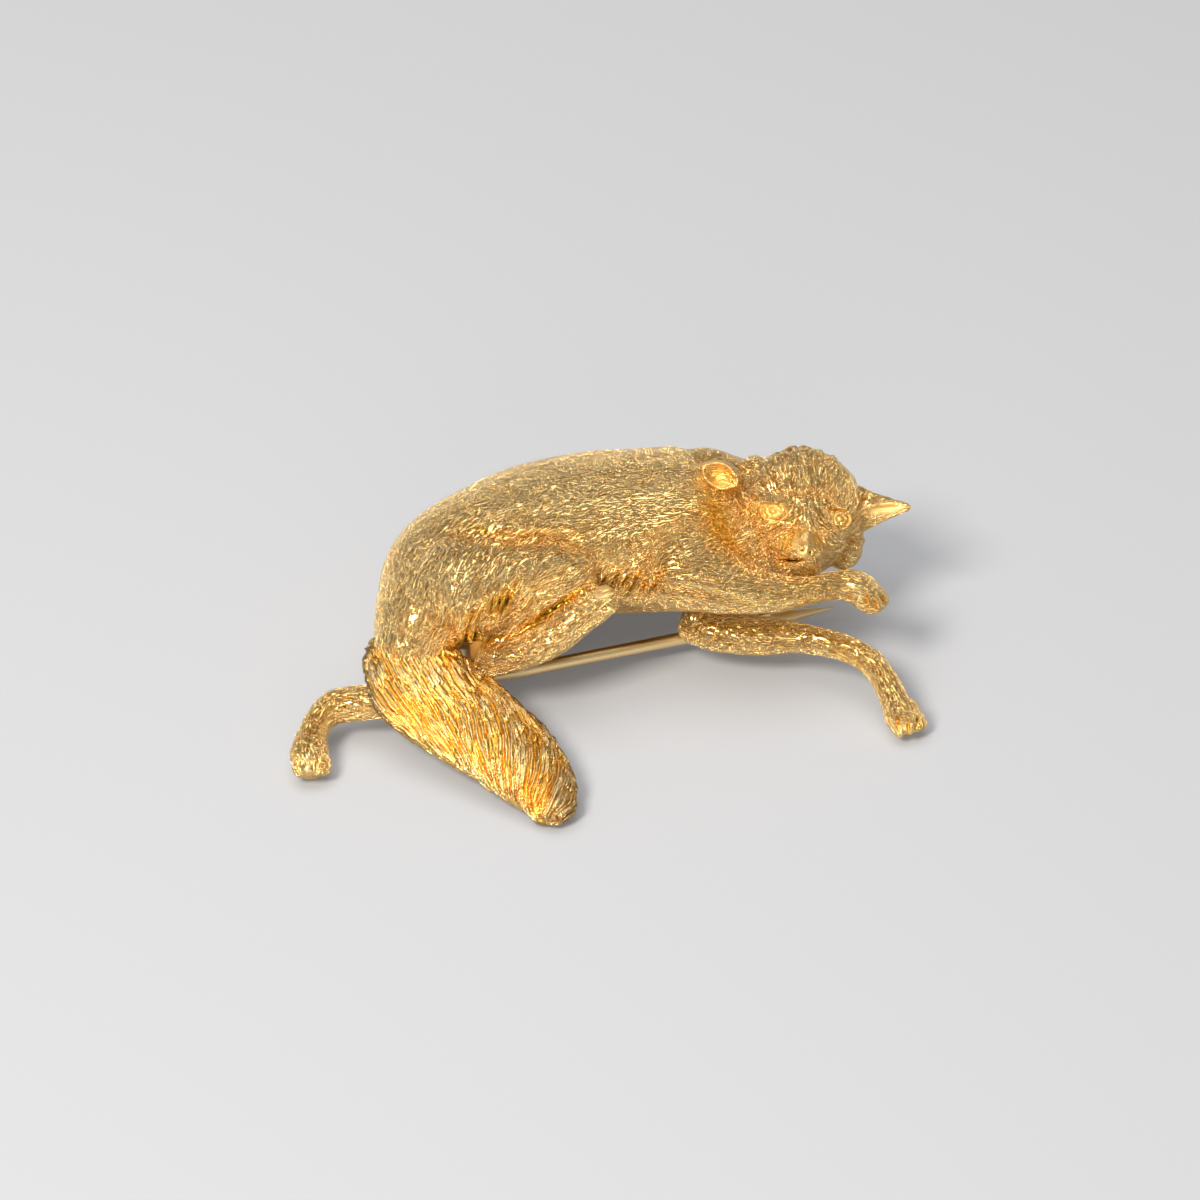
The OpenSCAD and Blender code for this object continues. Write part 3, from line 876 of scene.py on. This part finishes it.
# Dabs on the trunk, in the front view: place, angle, half length, half width, height.
TRUNK_DABS = [
    *marks(TUFTS, 0.65, 0.13, 0.30),
    *marks(TUFT_GAPS, 0.6, 0.10, -0.34),
    (-6.5, 4.9, 2, 4.6, 0.45, -0.45),
    (-6.0, 5.8, 3, 3.8, 0.5, 0.30),
    (-1.5, 4.2, -35, 1.8, 0.4, -0.2),
    (-7.2, 0.0, 60, 2.0, 0.25, -0.25),
    (7.0, 1.4, -14, 3.6, 0.5, 0.3),
    (7.6, 0.4, -10, 3.4, 0.22, -0.2),
    (10.9, 4.4, -58, 2.4, 0.35, -0.35),
    (11.4, 6.5, 75, 2.0, 0.9, -0.8),
    *marks(PAW_GAPS, 0.5, 0.10, -0.3),
    *lock_marks(0.17, 0.55),
    (-9.9, 4.95, -12, 1.9, 0.16, -0.35),
    (-6.2, 4.72, 3, 2.2, 0.16, -0.35),
    (-3.2, 4.5, -20, 1.2, 0.15, -0.28),
]

# Painted shade on the trunk, and painted highlight where the last number is negative: the back, the rump and
# the locks.
TRUNK_PAINTED_SHADE_AND_HIGHLIGHT = [
    (-6.0, 3.8, 3, 4.4, 0.8, 2.6),
    (-3.0, 8.6, 0, 7.0, 1.8, -1.0),
    (-12.0, 0.8, 60, 3.2, 1.6, -0.8),
    (5.4, 3.0, 70, 2.6, 1.4, 1.7),
    (8.0, 0.6, -12, 4.0, 0.5, 0.5),
    *lock_marks(0.16, -2.2),
]

# Tint and painted shade on the trunk, in the front view: place, angle, half length, half width, strength. Up
# to one it is a deeper yellow; the gaps between the tufts, toes and locks and the hollow between the haunch
# and the tail are painted shade.
TRUNK_TINT_AND_SHADE = [
    (9.0, 6.3, 100, 2.6, 1.1, 0.7),
    (10.4, 4.4, 125, 2.2, 0.7, 0.6),
    (8.6, 8.4, 80, 2.0, 1.8, 0.2),
    (16.0, 0.9, 10, 4.0, 0.9, 0.3),
    (2.0, 1.4, 0, 2.6, 1.0, 0.35),
    (-7.5, -0.2, 60, 1.8, 0.5, 0.35),
    (-10.5, -3.9, 0, 1.7, 0.8, 1.3),
    (5.0, 3.4, 60, 2.6, 1.2, 0.15),
    *lock_marks(0.2, 0.8, 6),
    (-8.8, 5.4, -12, 2.2, 0.30, 0.7),
    (-5.0, 5.2, 3, 1.6, 0.25, 0.4),
    (-10.0, -3.0, 0, 1.1, 0.9, 0.6),
    *((a + 0.33, b - 0.1, 80, 0.6, 0.10, 1.5) for a, b, angle, long in SPIKES if long < 1),
    *marks(PAW_GAPS, 0.5, 0.10, 1.2),
    *marks(TUFT_GAPS, 0.6, 0.09, 1.0),
]

# Painted shade in the gaps on the legs, and a deeper yellow tint along them, in the front view: place, angle,
# half length, half width, strength.
LEG_TINT_AND_SHADE = [
    (-3.8, -0.8, 34, 3.0, 0.28, 1.7),
    (-9.0, -3.3, 10, 1.2, 0.5, 1.2),
    *marks(TOE_GAPS, 0.5, 0.10, 1.4),
    (12.0, -2.2, 0, 5.0, 0.6, 0.5),
    (19.0, -3.5, -40, 5.0, 1.0, 0.3),
    (-21.8, -9.0, 40, 4.0, 1.2, 0.3),
]

# Metal left smooth on the legs: the end of the near foot, the far hind paw and the tips of the toes.
LEG_BARE = [
    (0.5, 0.75, 30, 1.0, 0.6, 0.8),
    (-22.9, -13.1, 0, 1.0, 0.8, 0.8),
    (24.0, -10.1, 0, 1.4, 0.5, 0.6),
]

# Dabs on the legs: the gap between shank and foot, the gaps of the toes, the pads of the far hind paw.
LEG_DABS = [
    (-3.8, -0.8, 34, 3.0, 0.28, -0.45),
    (-2.2, -0.1, 35, 1.6, 0.45, 0.12),
    *marks(TOE_GAPS, 0.6, 0.11, -0.35),
    (-22.8, -13.2, 0, 0.5, 0.42, 0.25),
    (-23.6, -12.5, 90, 0.5, 0.11, -0.25),
    (-22.0, -12.5, 90, 0.5, 0.11, -0.25),
    (-22.9, -13.9, 0, 0.8, 0.11, -0.22),
]

# Guides of the fur on the trunk, in the front view: place, angle, reach, strength.
TRUNK_GUIDES = [
    (-12.0, 2.0, 250.0, 3.0, 1.2),
    (-7.0, 1.6, 245.0, 2.6, 1.4),
    (-6.0, 4.6, 225.0, 2.4, 0.8),
    (1.6, 3.6, 235.0, 2.6, 1.0),
    (5.8, 4.0, 215.0, 2.2, 0.8),
    (9.2, 5.4, 250.0, 2.2, 1.4),
    (7.4, 0.9, 165.0, 2.4, 1.0),
    (13.0, 0.2, 178.0, 3.5, 2.5),
    (19.0, 1.6, 160.0, 3.0, 2.5),
]


class BROOCH_OT_trunk(bpy.types.Operator):
    """Trunk with its haunch, shoulder and upper foreleg, open at the back"""

    bl_idname = "brooch.trunk"
    bl_label = "Trunk"

    def execute(self, context):
        settings = context.scene.brooch
        haunch = limb_rows(HAUNCH, HAUNCH_HALF_W)
        upper = limb_rows(UPPER_FORE, SHOULDER_HALF_W)
        forms = [loft(trunk_rows(), 120, 96), loft(haunch, 60, 64), loft(upper, 90, 48)]
        forms += toe_forms(UPPER_FORE)
        forms.append(view_ball(*NECK))
        rough = fused(forms, ROUGH_GRAIN)
        a, b = seen(rough.points)
        melt = np.zeros(len(a))
        for ma, mb, reach in MELTED:
            melt = np.maximum(melt, bell(a, b, ma, mb, reach**2))
        rough.relax(MELT_ROUNDS, melt * (rough.normals() @ BACK > 0))
        rough.relax(SMOOTH_ROUNDS["rough"])
        skin = fused([(rough.points, rough.quads, rough.tris)], settings.body_grain)
        skin.relax(SMOOTH_ROUNDS["trunk"])
        sculpted(skin, TRUNK_DABS)
        combed(skin, -along_limbs(skin.points, [trunk_rows()], 160), TRUNK_GUIDES)
        fine, wide = (strokes(skin, *kind) for kind in TRUNK_STROKES)
        # Painted shade down in the strokes and under the shade spots, and painted highlight where a spot is
        # negative.
        skin.depth = 0.28 * fine + 0.2 * wide - spots_sum(skin, TRUNK_PAINTED_SHADE_AND_HIGHLIGHT)
        skin.push((0.20 * fine + 0.30 * wide) * settings.stroke_depth / MM)
        tinted_and_shaded(skin, TRUNK_TINT_AND_SHADE)
        tools = [added("core", mesh_of("core", *form)) for form in (opened_core(), haunch_core())]

        def add(thing):
            for tool in tools:
                cut = thing.modifiers.new("open", "BOOLEAN")
                cut.operation = "DIFFERENCE"
                cut.object = tool
                cut.solver = "MANIFOLD"

        mesh = modified(skin_mesh(skin, "fox_trunk"), add)
        for tool in tools:
            bpy.data.objects.remove(tool)
        shown_halves("fox_trunk", mesh, fur_gold())
        return {"FINISHED"}


# Eyes and nose in the front view, and how widely the fur turns round an eye.
EYES = [(13.50, 6.85), (18.60, 6.30)]
NOSE = (16.05, 3.85)
EYE_SPREAD = 2.4

# Outlines of the carved discs, from the middle out: share of the half width, and height in millimetres.
EYE_PROFILE = [
    (0.00, 0.35), (0.10, 0.35), (0.18, 0.30), (0.26, 0.23), (0.34, 0.22), (0.44, 0.26), (0.54, 0.25),
    (0.62, 0.18), (0.70, 0.10), (0.78, 0.10), (0.86, 0.19), (0.94, 0.20), (1.02, 0.11), (1.10, -0.06),
    (1.20, -0.45),
]
EAR_PROFILE = [
    (0.00, -0.40), (0.25, -0.38), (0.45, -0.30), (0.62, -0.16), (0.76, 0.02), (0.86, 0.16),
    (0.94, 0.22), (1.02, 0.18), (1.08, 0.06), (1.14, -0.15), (1.20, -0.45), (1.24, -0.85),
]

# Tint and painted shade added for each millimetre below a disc's top, and the most of it.
DISC_SHADE, DISC_SHADE_MOST = 0.6, 1.6

# Discs: name, then place, half width and half height in the front view, then how near it lies, or none
# where the skin says so, and its turn, profile, tint and bareness.
DISCS = [
    ("left_eye", (*EYES[0], 1.18, 0.92), None, -12.0, EYE_PROFILE, 0.4, 0.5),
    ("right_eye", (*EYES[1], 0.98, 0.92), None, 0.0, EYE_PROFILE, 0.3, 0.5),
    ("left_ear_cup", (9.35, 9.65, 1.50, 0.98), 2.85, -24.0, EAR_PROFILE, 0.2, 0.45),
]

# Rows of the ears, left and right: place from root to tip, half depth, half height.
EAR_ROWS = {
    -1: ((-0.25, 1.1, 1.3), (0.3, 1.1, 1.3), (0.75, 0.9, 1.1), (1.0, 0.5, 0.7)),
    1: ((-0.3, 1.2, 2.1), (0.15, 1.15, 1.7), (0.55, 0.8, 1.05), (0.97, 0.3, 0.35)),
}

# Balls of the head in its own frame: place, radii and, for the right brow, how far it leans.
CHIN = ((0.0, -4.9, -3.3), (1.9, 1.4, 1.1))
NOSE_TIP = ((0, -0.575 * HEAD_LEN, -0.34 * HEAD_HALF_H), (0.62, 0.5, 0.5))
BROW = ((2.6, -3.6, 1.5), (1.35, 0.75, 0.5), 12)

# Length of an ear from root to tip.
EAR_LEN = 4.0

# Forms of the head placed from the front view: right, up and near, then radii and angle.
HEAD_FORMS = [
    (9.35, 9.3, 2.1, (1.6, 1.25, 0.95), -22.0),
    (12.4, 10.0, -2.6, (2.3, 1.25, 2.0), 4.0),
    (18.75, 4.9, -0.5, (1.85, 2.6, 1.9), 14.0),
]

# Dabs on the head: ears, brows, cheeks and lids; then on the face: bridge, nose, nostrils, mouth, eye corner.
HEAD_DABS = [
    (19.7, 9.3, -38, 1.5, 0.8, 0.35),
    (9.35, 9.65, -22, 1.3, 0.85, -1.4),
    (22.4, 7.15, 6, 1.4, 0.32, -0.40),
    (13.3, 8.0, 18, 1.5, 0.35, 0.15),
    (18.6, 7.6, -12, 1.2, 0.35, 0.15),
    (14.7, 5.3, 65, 1.3, 0.50, -0.15),
    (17.4, 5.1, 115, 1.2, 0.45, -0.15),
    (13.5, 7.72, -8, 1.1, 0.17, 0.25),
    (13.4, 6.05, -14, 1.0, 0.15, 0.15),
    (18.6, 7.2, 0, 0.9, 0.17, 0.25),
    (18.6, 5.42, 0, 0.9, 0.15, 0.12),
]
FACE_DABS = [
    (16.15, 5.4, 90, 1.6, 0.34, 0.22),
    (*NOSE, 0, 0.55, 0.42, 0.25),
    (15.80, 3.92, 0, 0.15, 0.15, -0.30),
    (16.42, 3.72, 0, 0.15, 0.15, -0.30),
    (14.95, 3.08, -3, 0.80, 0.13, -0.45),
    (14.25, 5.72, 0, 0.28, 0.16, 0.16),
]

# Bare metal on the face: place, angle, half length, half width and how bare.
BARE = [
    (16.1, 4.7, 90, 1.0, 1.5, 0.55),
    (*NOSE, 0, 0.6, 0.5, 1.0),
    (22.6, 7.2, 10, 1.7, 0.5, 0.8),
]

# Painted shade on the head, and painted highlight where the last number is negative: the bridge, brows and
# chin.
HEAD_PAINTED_SHADE_AND_HIGHLIGHT = [
    (16.15, 5.5, 90, 1.3, 0.20, -1.8),
    (13.6, 8.2, 12, 1.3, 0.35, -1.2),
    (18.4, 7.9, -10, 1.1, 0.30, -0.8),
    (15.2, 2.5, 0, 1.4, 0.35, -0.8),
    (14.9, 4.6, 68, 1.3, 0.55, 0.9),
    (17.2, 4.6, 105, 1.2, 0.45, 0.5),
]

# Tint and painted shade on the head: place, angle, half length, half width, strength. The flanks of the
# muzzle are darkened as painted shade, and the right eye's lid line, the mouth and the nostrils are painted
# shade.
HEAD_TINT_AND_SHADE = [
    (13.5, 6.8, 0, 1.3, 0.9, 0.15),
    (14.8, 4.7, 70, 1.3, 0.6, 0.7),
    (17.1, 4.7, 105, 1.2, 0.5, 0.5),
    (18.6, 7.02, 0, 0.7, 0.10, 1.5),
    (18.0, 2.6, 20, 1.8, 0.6, 0.5),
    (12.3, 4.0, 120, 1.8, 0.6, 0.35),
    (12.0, 5.6, 110, 2.2, 0.6, 0.3),
    (14.95, 3.08, -3, 0.75, 0.11, 3.0),
    (15.80, 3.90, 0, 0.13, 0.13, 2.2),
    (16.42, 3.72, 0, 0.13, 0.13, 2.2),
]


class BROOCH_OT_head(bpy.types.Operator):
    """Head with its ears, eyes, muzzle and mouth"""

    bl_idname = "brooch.head"
    bl_label = "Head"

    def execute(self, context):
        settings = context.scene.brooch
        forms = [loft(head_rows(SKULL), 60, 72), loft(head_rows(MUZZLE), 50, 56)]
        forms += [ball(*CHIN), ball(*NOSE_TIP)]
        (out, forward, high), radii, lean = BROW
        for s in (-1, 1):
            forms.append(ball((s * out, forward, high), radii, turned(1, -s * lean)))
            root = np.array([s * 0.80 * HEAD_HALF_W, 0.0, 0.20 * HEAD_HALF_H])
            tip = root + np.array([s * 1.09, -0.38, 0.31 - s * 0.04]) * EAR_LEN
            line = [np.concatenate([root + (tip - root) * k, [w, h, h, h]]) for k, w, h in EAR_ROWS[s]]
            forms.append(loft(np.array(line), 30, 40))
        turn = turned(2, HEAD_TURN) @ turned(1, HEAD_LEAN) @ turned(0, -HEAD_TIP)
        middle = (HEAD_MIDDLE - BOX_MIDDLE) * FIGURE
        forms = [(points @ turn.T + middle, quads, tris) for points, quads, tris in forms]
        forms += [view_ball(*spot) for spot in HEAD_FORMS]
        skin = fused(forms, settings.head_grain)
        skin.relax(SMOOTH_ROUNDS["head"])
        sculpted(skin, HEAD_DABS)
        sculpted(skin, FACE_DABS)
        for name, place, near, spin, profile, tint_and_shade, bare in DISCS:
            disc = view_disc(skin, place, near, spin, profile)
            # Painted shade in the disc's hollows: the lower below its top, the darker and more orange.
            top = max(height for _, height in profile)
            low = top - (disc.points - disc.middle) @ disc.face
            disc.tint_and_shade[:] = np.clip(tint_and_shade + DISC_SHADE * low, 0, DISC_SHADE_MOST)
            disc.bare[:] = bare
            shown("fox_" + name, skin_mesh(disc, "disc"), fur_gold())
        a, b = seen(skin.points)
        away = (a - NOSE[0])[:, None] * RIGHT + (b - NOSE[1])[:, None] * UP
        for ea, eb in EYES:
            near = bell(a, b, ea, eb, EYE_SPREAD)
            away += 5 * near[:, None] * ((a - ea)[:, None] * RIGHT + (b - eb)[:, None] * UP)
        skin.lay(away)
        fine, wide = (strokes(skin, *kind) for kind in HEAD_STROKES)
        bared(skin, BARE)
        shown_fur = 1 - skin.bare
        # Painted shade down in the strokes, bare metal a little lighter, and painted shade and highlight from
        # the head's spots.
        skin.depth = 0.5 * fine * shown_fur + 0.2 * skin.bare - spots_sum(skin, HEAD_PAINTED_SHADE_AND_HIGHLIGHT)
        # Curls on the crown and on the right cheek.
        crest = np.clip((b - 10.2) / 1.0, 0, 1) + 0.7 * np.clip((a - 19.4) / 1.2, 0, 1) * (b < 6.5)
        lumps = np.maximum(noise(skin.points / 0.5, 12), 0)
        relief = (0.45 * fine + 0.4 * wide) * settings.stroke_depth / MM
        skin.push((relief + 0.3 * crest * lumps) * shown_fur)
        tinted_and_shaded(skin, HEAD_TINT_AND_SHADE)
        shown("fox_head", skin_mesh(skin, "fox_head"), fur_gold())
        return {"FINISHED"}


# Rings, points and cap rings of the brush, and the lean of its locks round it.
BRUSH_RINGS, BRUSH_POINTS, BRUSH_CAPS = 280, 300, 24
LOCK_LEAN = 0.26

# Long and short locks of the brush: length, width and seed.
LONG_LOCKS, SHORT_LOCKS = (2.3, 0.42, 31), (1.6, 0.34, 32)


def lock_rows(s, t, length, width, seed):
    """Rows of pointed locks: each rises along its length to a tip that narrows, where the next begins."""
    row = np.floor(t / width).astype(np.int64)
    start = lattice(row, row * 0, row * 0, seed)
    turn = s / length + start
    lock = np.floor(turn).astype(np.int64)
    along = turn - lock
    across = 2 * (t / width - row) - 1 + 0.3 * lattice(row, lock, row * 0, seed + 1)
    half = 1.1 - 0.85 * along**2
    return np.clip(1 - (across / half) ** 2, 0, 1) * (0.35 + 0.65 * along)


class BROOCH_OT_brush(bpy.types.Operator):
    """Tail: a brush of long overlapping locks"""

    bl_idname = "brooch.brush"
    bl_label = "Brush"

    def execute(self, context):
        settings = context.scene.brooch
        rows = limb_rows(TAIL, TAIL_HALF_W, TAIL_HALF_H)
        skin = Skin(*loft(rows, BRUSH_RINGS, BRUSH_POINTS, BRUSH_CAPS))
        centre, way, _, _, sizes, angle, _ = loft_grid(rows, BRUSH_RINGS, BRUSH_POINTS, BRUSH_CAPS)
        run = np.concatenate([[0], np.cumsum(np.linalg.norm(np.diff(centre, axis=0), axis=1))])
        girth = (sizes[:, 0] + sizes[:, 1]) / 2
        s = np.repeat(run[:, None], BRUSH_POINTS, 1)
        t = angle[None] * np.maximum(girth, 0.6)[:, None]
        cos, sin = math.cos(LOCK_LEAN), math.sin(LOCK_LEAN)
        along, across = s * cos + t * sin, t * cos - s * sin
        warped = across + 0.3 * noise_flat(along / 3.0, across / 1.6, 21)
        lumps = noise_flat(along / 2.0, warped / 0.62, 22)
        locks = np.maximum(
            lock_rows(along, warped, *LONG_LOCKS),
            0.9 * lock_rows(along, warped + 0.17, *SHORT_LOCKS),
        )
        hairs = noise_flat(along / 0.8, warped / 0.14, 24)
        height = 1.5 * locks + 0.7 * lumps + 0.15 * hairs - 0.9
        full = np.concatenate([height.ravel(), [height[0].mean(), height[-1].mean()]])
        # Painted shade and gold inter-reflection down in the grooves: the lower the skin, the darker and more
        # orange the gold.
        skin.depth = 1.8 * full - 0.3
        skin.tint_and_shade = np.clip(0.1 - 0.35 * full, 0.0, 0.4)
        forward = np.repeat(way[:, None], BRUSH_POINTS, 1).reshape(-1, 3)
        skin.way = np.vstack([forward, way[0], way[-1]])
        skin.push(full * settings.groove_depth / MM)
        gold = chased_gold(
            "brush gold", stroke_mm=0.08, reach_mm=0.2, bump_mm=0.02, rough=0.20,
            relief=0.95, stroke_shade=(0.72, 0.39, 0.05), raised=(0.68, 0.54, 0.30),
        )
        shown("fox_brush", skin_mesh(skin, "fox_brush"), gold)
        return {"FINISHED"}


class BROOCH_OT_legs(bpy.types.Operator):
    """The two hind legs and the lower foreleg"""

    bl_idname = "brooch.legs"
    bl_label = "Legs"

    def execute(self, context):
        settings = context.scene.brooch
        legs = {
            "near_hind_leg": [(SHANK, 0), (FOOT, 1)],
            "far_hind_leg": [(FAR_HIND, 1)],
            "lower_foreleg": [(LOWER_ARM, 0), (LOWER_FORE, 1)],
        }
        for seed, (name, tables) in enumerate(legs.items()):
            forms, limbs = [], []
            for table, toed in tables:
                rows = limb_rows(table, LEG_R)
                limbs.append(rows)
                forms.append(loft(rows, 80, 48))
                if toed:
                    forms += toe_forms(table)
            skin = fused(forms, settings.leg_grain)
            skin.relax(SMOOTH_ROUNDS["legs"])
            base = along_limbs(skin.points, limbs, 120)
            sculpted(skin, LEG_DABS)
            combed(skin, base, [])
            relief = strokes(skin, *LEG_STROKES, LEG_SEED + seed)
            bared(skin, LEG_BARE)
            # Painted shade down in the strokes.
            skin.depth = 0.4 * relief * (1 - skin.bare)
            skin.push(0.45 * relief * (1 - skin.bare) * settings.stroke_depth / MM)
            tinted_and_shaded(skin, LEG_TINT_AND_SHADE)
            shown(name, skin_mesh(skin, name), fur_gold())
        return {"FINISHED"}


# Worn edge of the posts.
POST_BEVEL = 0.12 * MM


class BROOCH_OT_findings(bpy.types.Operator):
    """The two posts in the open back, and the polish of the hinge, pin stem and catch"""

    bl_idname = "brooch.findings"
    bl_label = "Findings"

    def execute(self, context):
        polish = polished_gold()
        for name, form in (("hinge_post", HINGE_POST), ("catch_post", CATCH_POST)):
            piece = shown(name, mesh_of(name, *post(form)), polish, smooth=False)
            bevel = piece.modifiers.new("worn edges", "BEVEL")
            bevel.width = POST_BEVEL
            bevel.segments = 2
        for name in ("hinge_bracket", "hinge_rivet", "pin_stem", "catch_hook"):
            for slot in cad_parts[name].material_slots:
                slot.material = polish
        return {"FINISHED"}


# Half the width of the floor, in metres.
FLOOR_REACH = 2.0

# Lights that face the brooch: name, place and size in metres, power and colour.
LIGHTS = (
    ("overhead", (-0.08, 0.04, 0.46), 0.50, 1.55, "#ffffff"),
    ("front", (-0.25, -0.34, 0.46), 0.20, 4.3, "#fffaf2"),
    ("low fill", (0.02, -0.50, 0.12), 0.30, 0.65, "#fffdf8"),
)
ROOM_COLOUR, ROOM_LIGHT = "#e8ecf2", 0.33


class BROOCH_OT_stage(bpy.types.Operator):
    """Pale floor, soft lights and the camera of the front view"""

    bl_idname = "brooch.stage"
    bl_label = "Stage"

    def execute(self, context):
        corners = np.array([(-1, -1, 0), (1, -1, 0), (1, 1, 0), (-1, 1, 0)]) * FLOOR_REACH
        mesh = mesh_of("floor", corners, np.array([[0, 1, 2, 3]]))
        mesh.materials.append(backdrop_paper())
        floor = added("floor", mesh)
        for name, place, size, power, colour in LIGHTS:
            light = bpy.data.lights.new(name, "AREA")
            light.shape = "DISK"
            light.size = size
            light.energy = power
            light.color = linear(colour)[:3]
            lamp = added(name, light)
            lamp.location = place
            way = -np.array(place) / np.linalg.norm(place)
            lamp.rotation_euler = (math.acos(-way[2]), 0, math.atan2(way[1], way[0]) - math.pi / 2)
        world = bpy.data.worlds.new("studio")
        context.scene.world = world
        world.use_nodes = True
        background = world.node_tree.nodes["Background"]
        background.inputs["Color"].default_value = linear(ROOM_COLOUR)
        background.inputs["Strength"].default_value = ROOM_LIGHT
        camera = bpy.data.cameras.new("front view")
        camera.sensor_width = 36.0
        camera.lens = 192.0
        camera.clip_start, camera.clip_end = 0.01, 10.0
        eye = added("front view", camera)
        eye.location = (VIEW_TARGET + BACK * VIEW_DISTANCE) * MM
        eye.rotation_euler = (math.pi / 2 - VIEW_TILT, 0, 0)
        context.scene.camera = eye
        context.scene.view_settings.view_transform = "Standard"
        return {"FINISHED"}


class BROOCH_PT_sidebar(bpy.types.Panel):
    """Lists the brooch's pieces"""

    bl_idname = "BROOCH_PT_sidebar"
    bl_label = "Brooch"
    bl_space_type = "VIEW_3D"
    bl_region_type = "UI"
    bl_category = "Brooch"

    def draw(self, context):
        for name in BroochSettings.__annotations__:
            self.layout.prop(context.scene.brooch, name)
        for piece in PIECES:
            self.layout.operator(piece.bl_idname)


PIECES = (
    BROOCH_OT_trunk, BROOCH_OT_head, BROOCH_OT_brush,
    BROOCH_OT_legs, BROOCH_OT_findings, BROOCH_OT_stage,
)


def register():
    for part in (BroochSettings, *PIECES, BROOCH_PT_sidebar):
        bpy.utils.register_class(part)
    bpy.types.Scene.brooch = bpy.props.PointerProperty(type=BroochSettings)


def unregister():
    del bpy.types.Scene.brooch
    for part in (BROOCH_PT_sidebar, *reversed(PIECES), BroochSettings):
        bpy.utils.unregister_class(part)


def main():
    register()
    for piece in PIECES:
        group, name = piece.bl_idname.split(".")
        getattr(getattr(bpy.ops, group), name)()


if __name__ == "__main__":
    main()
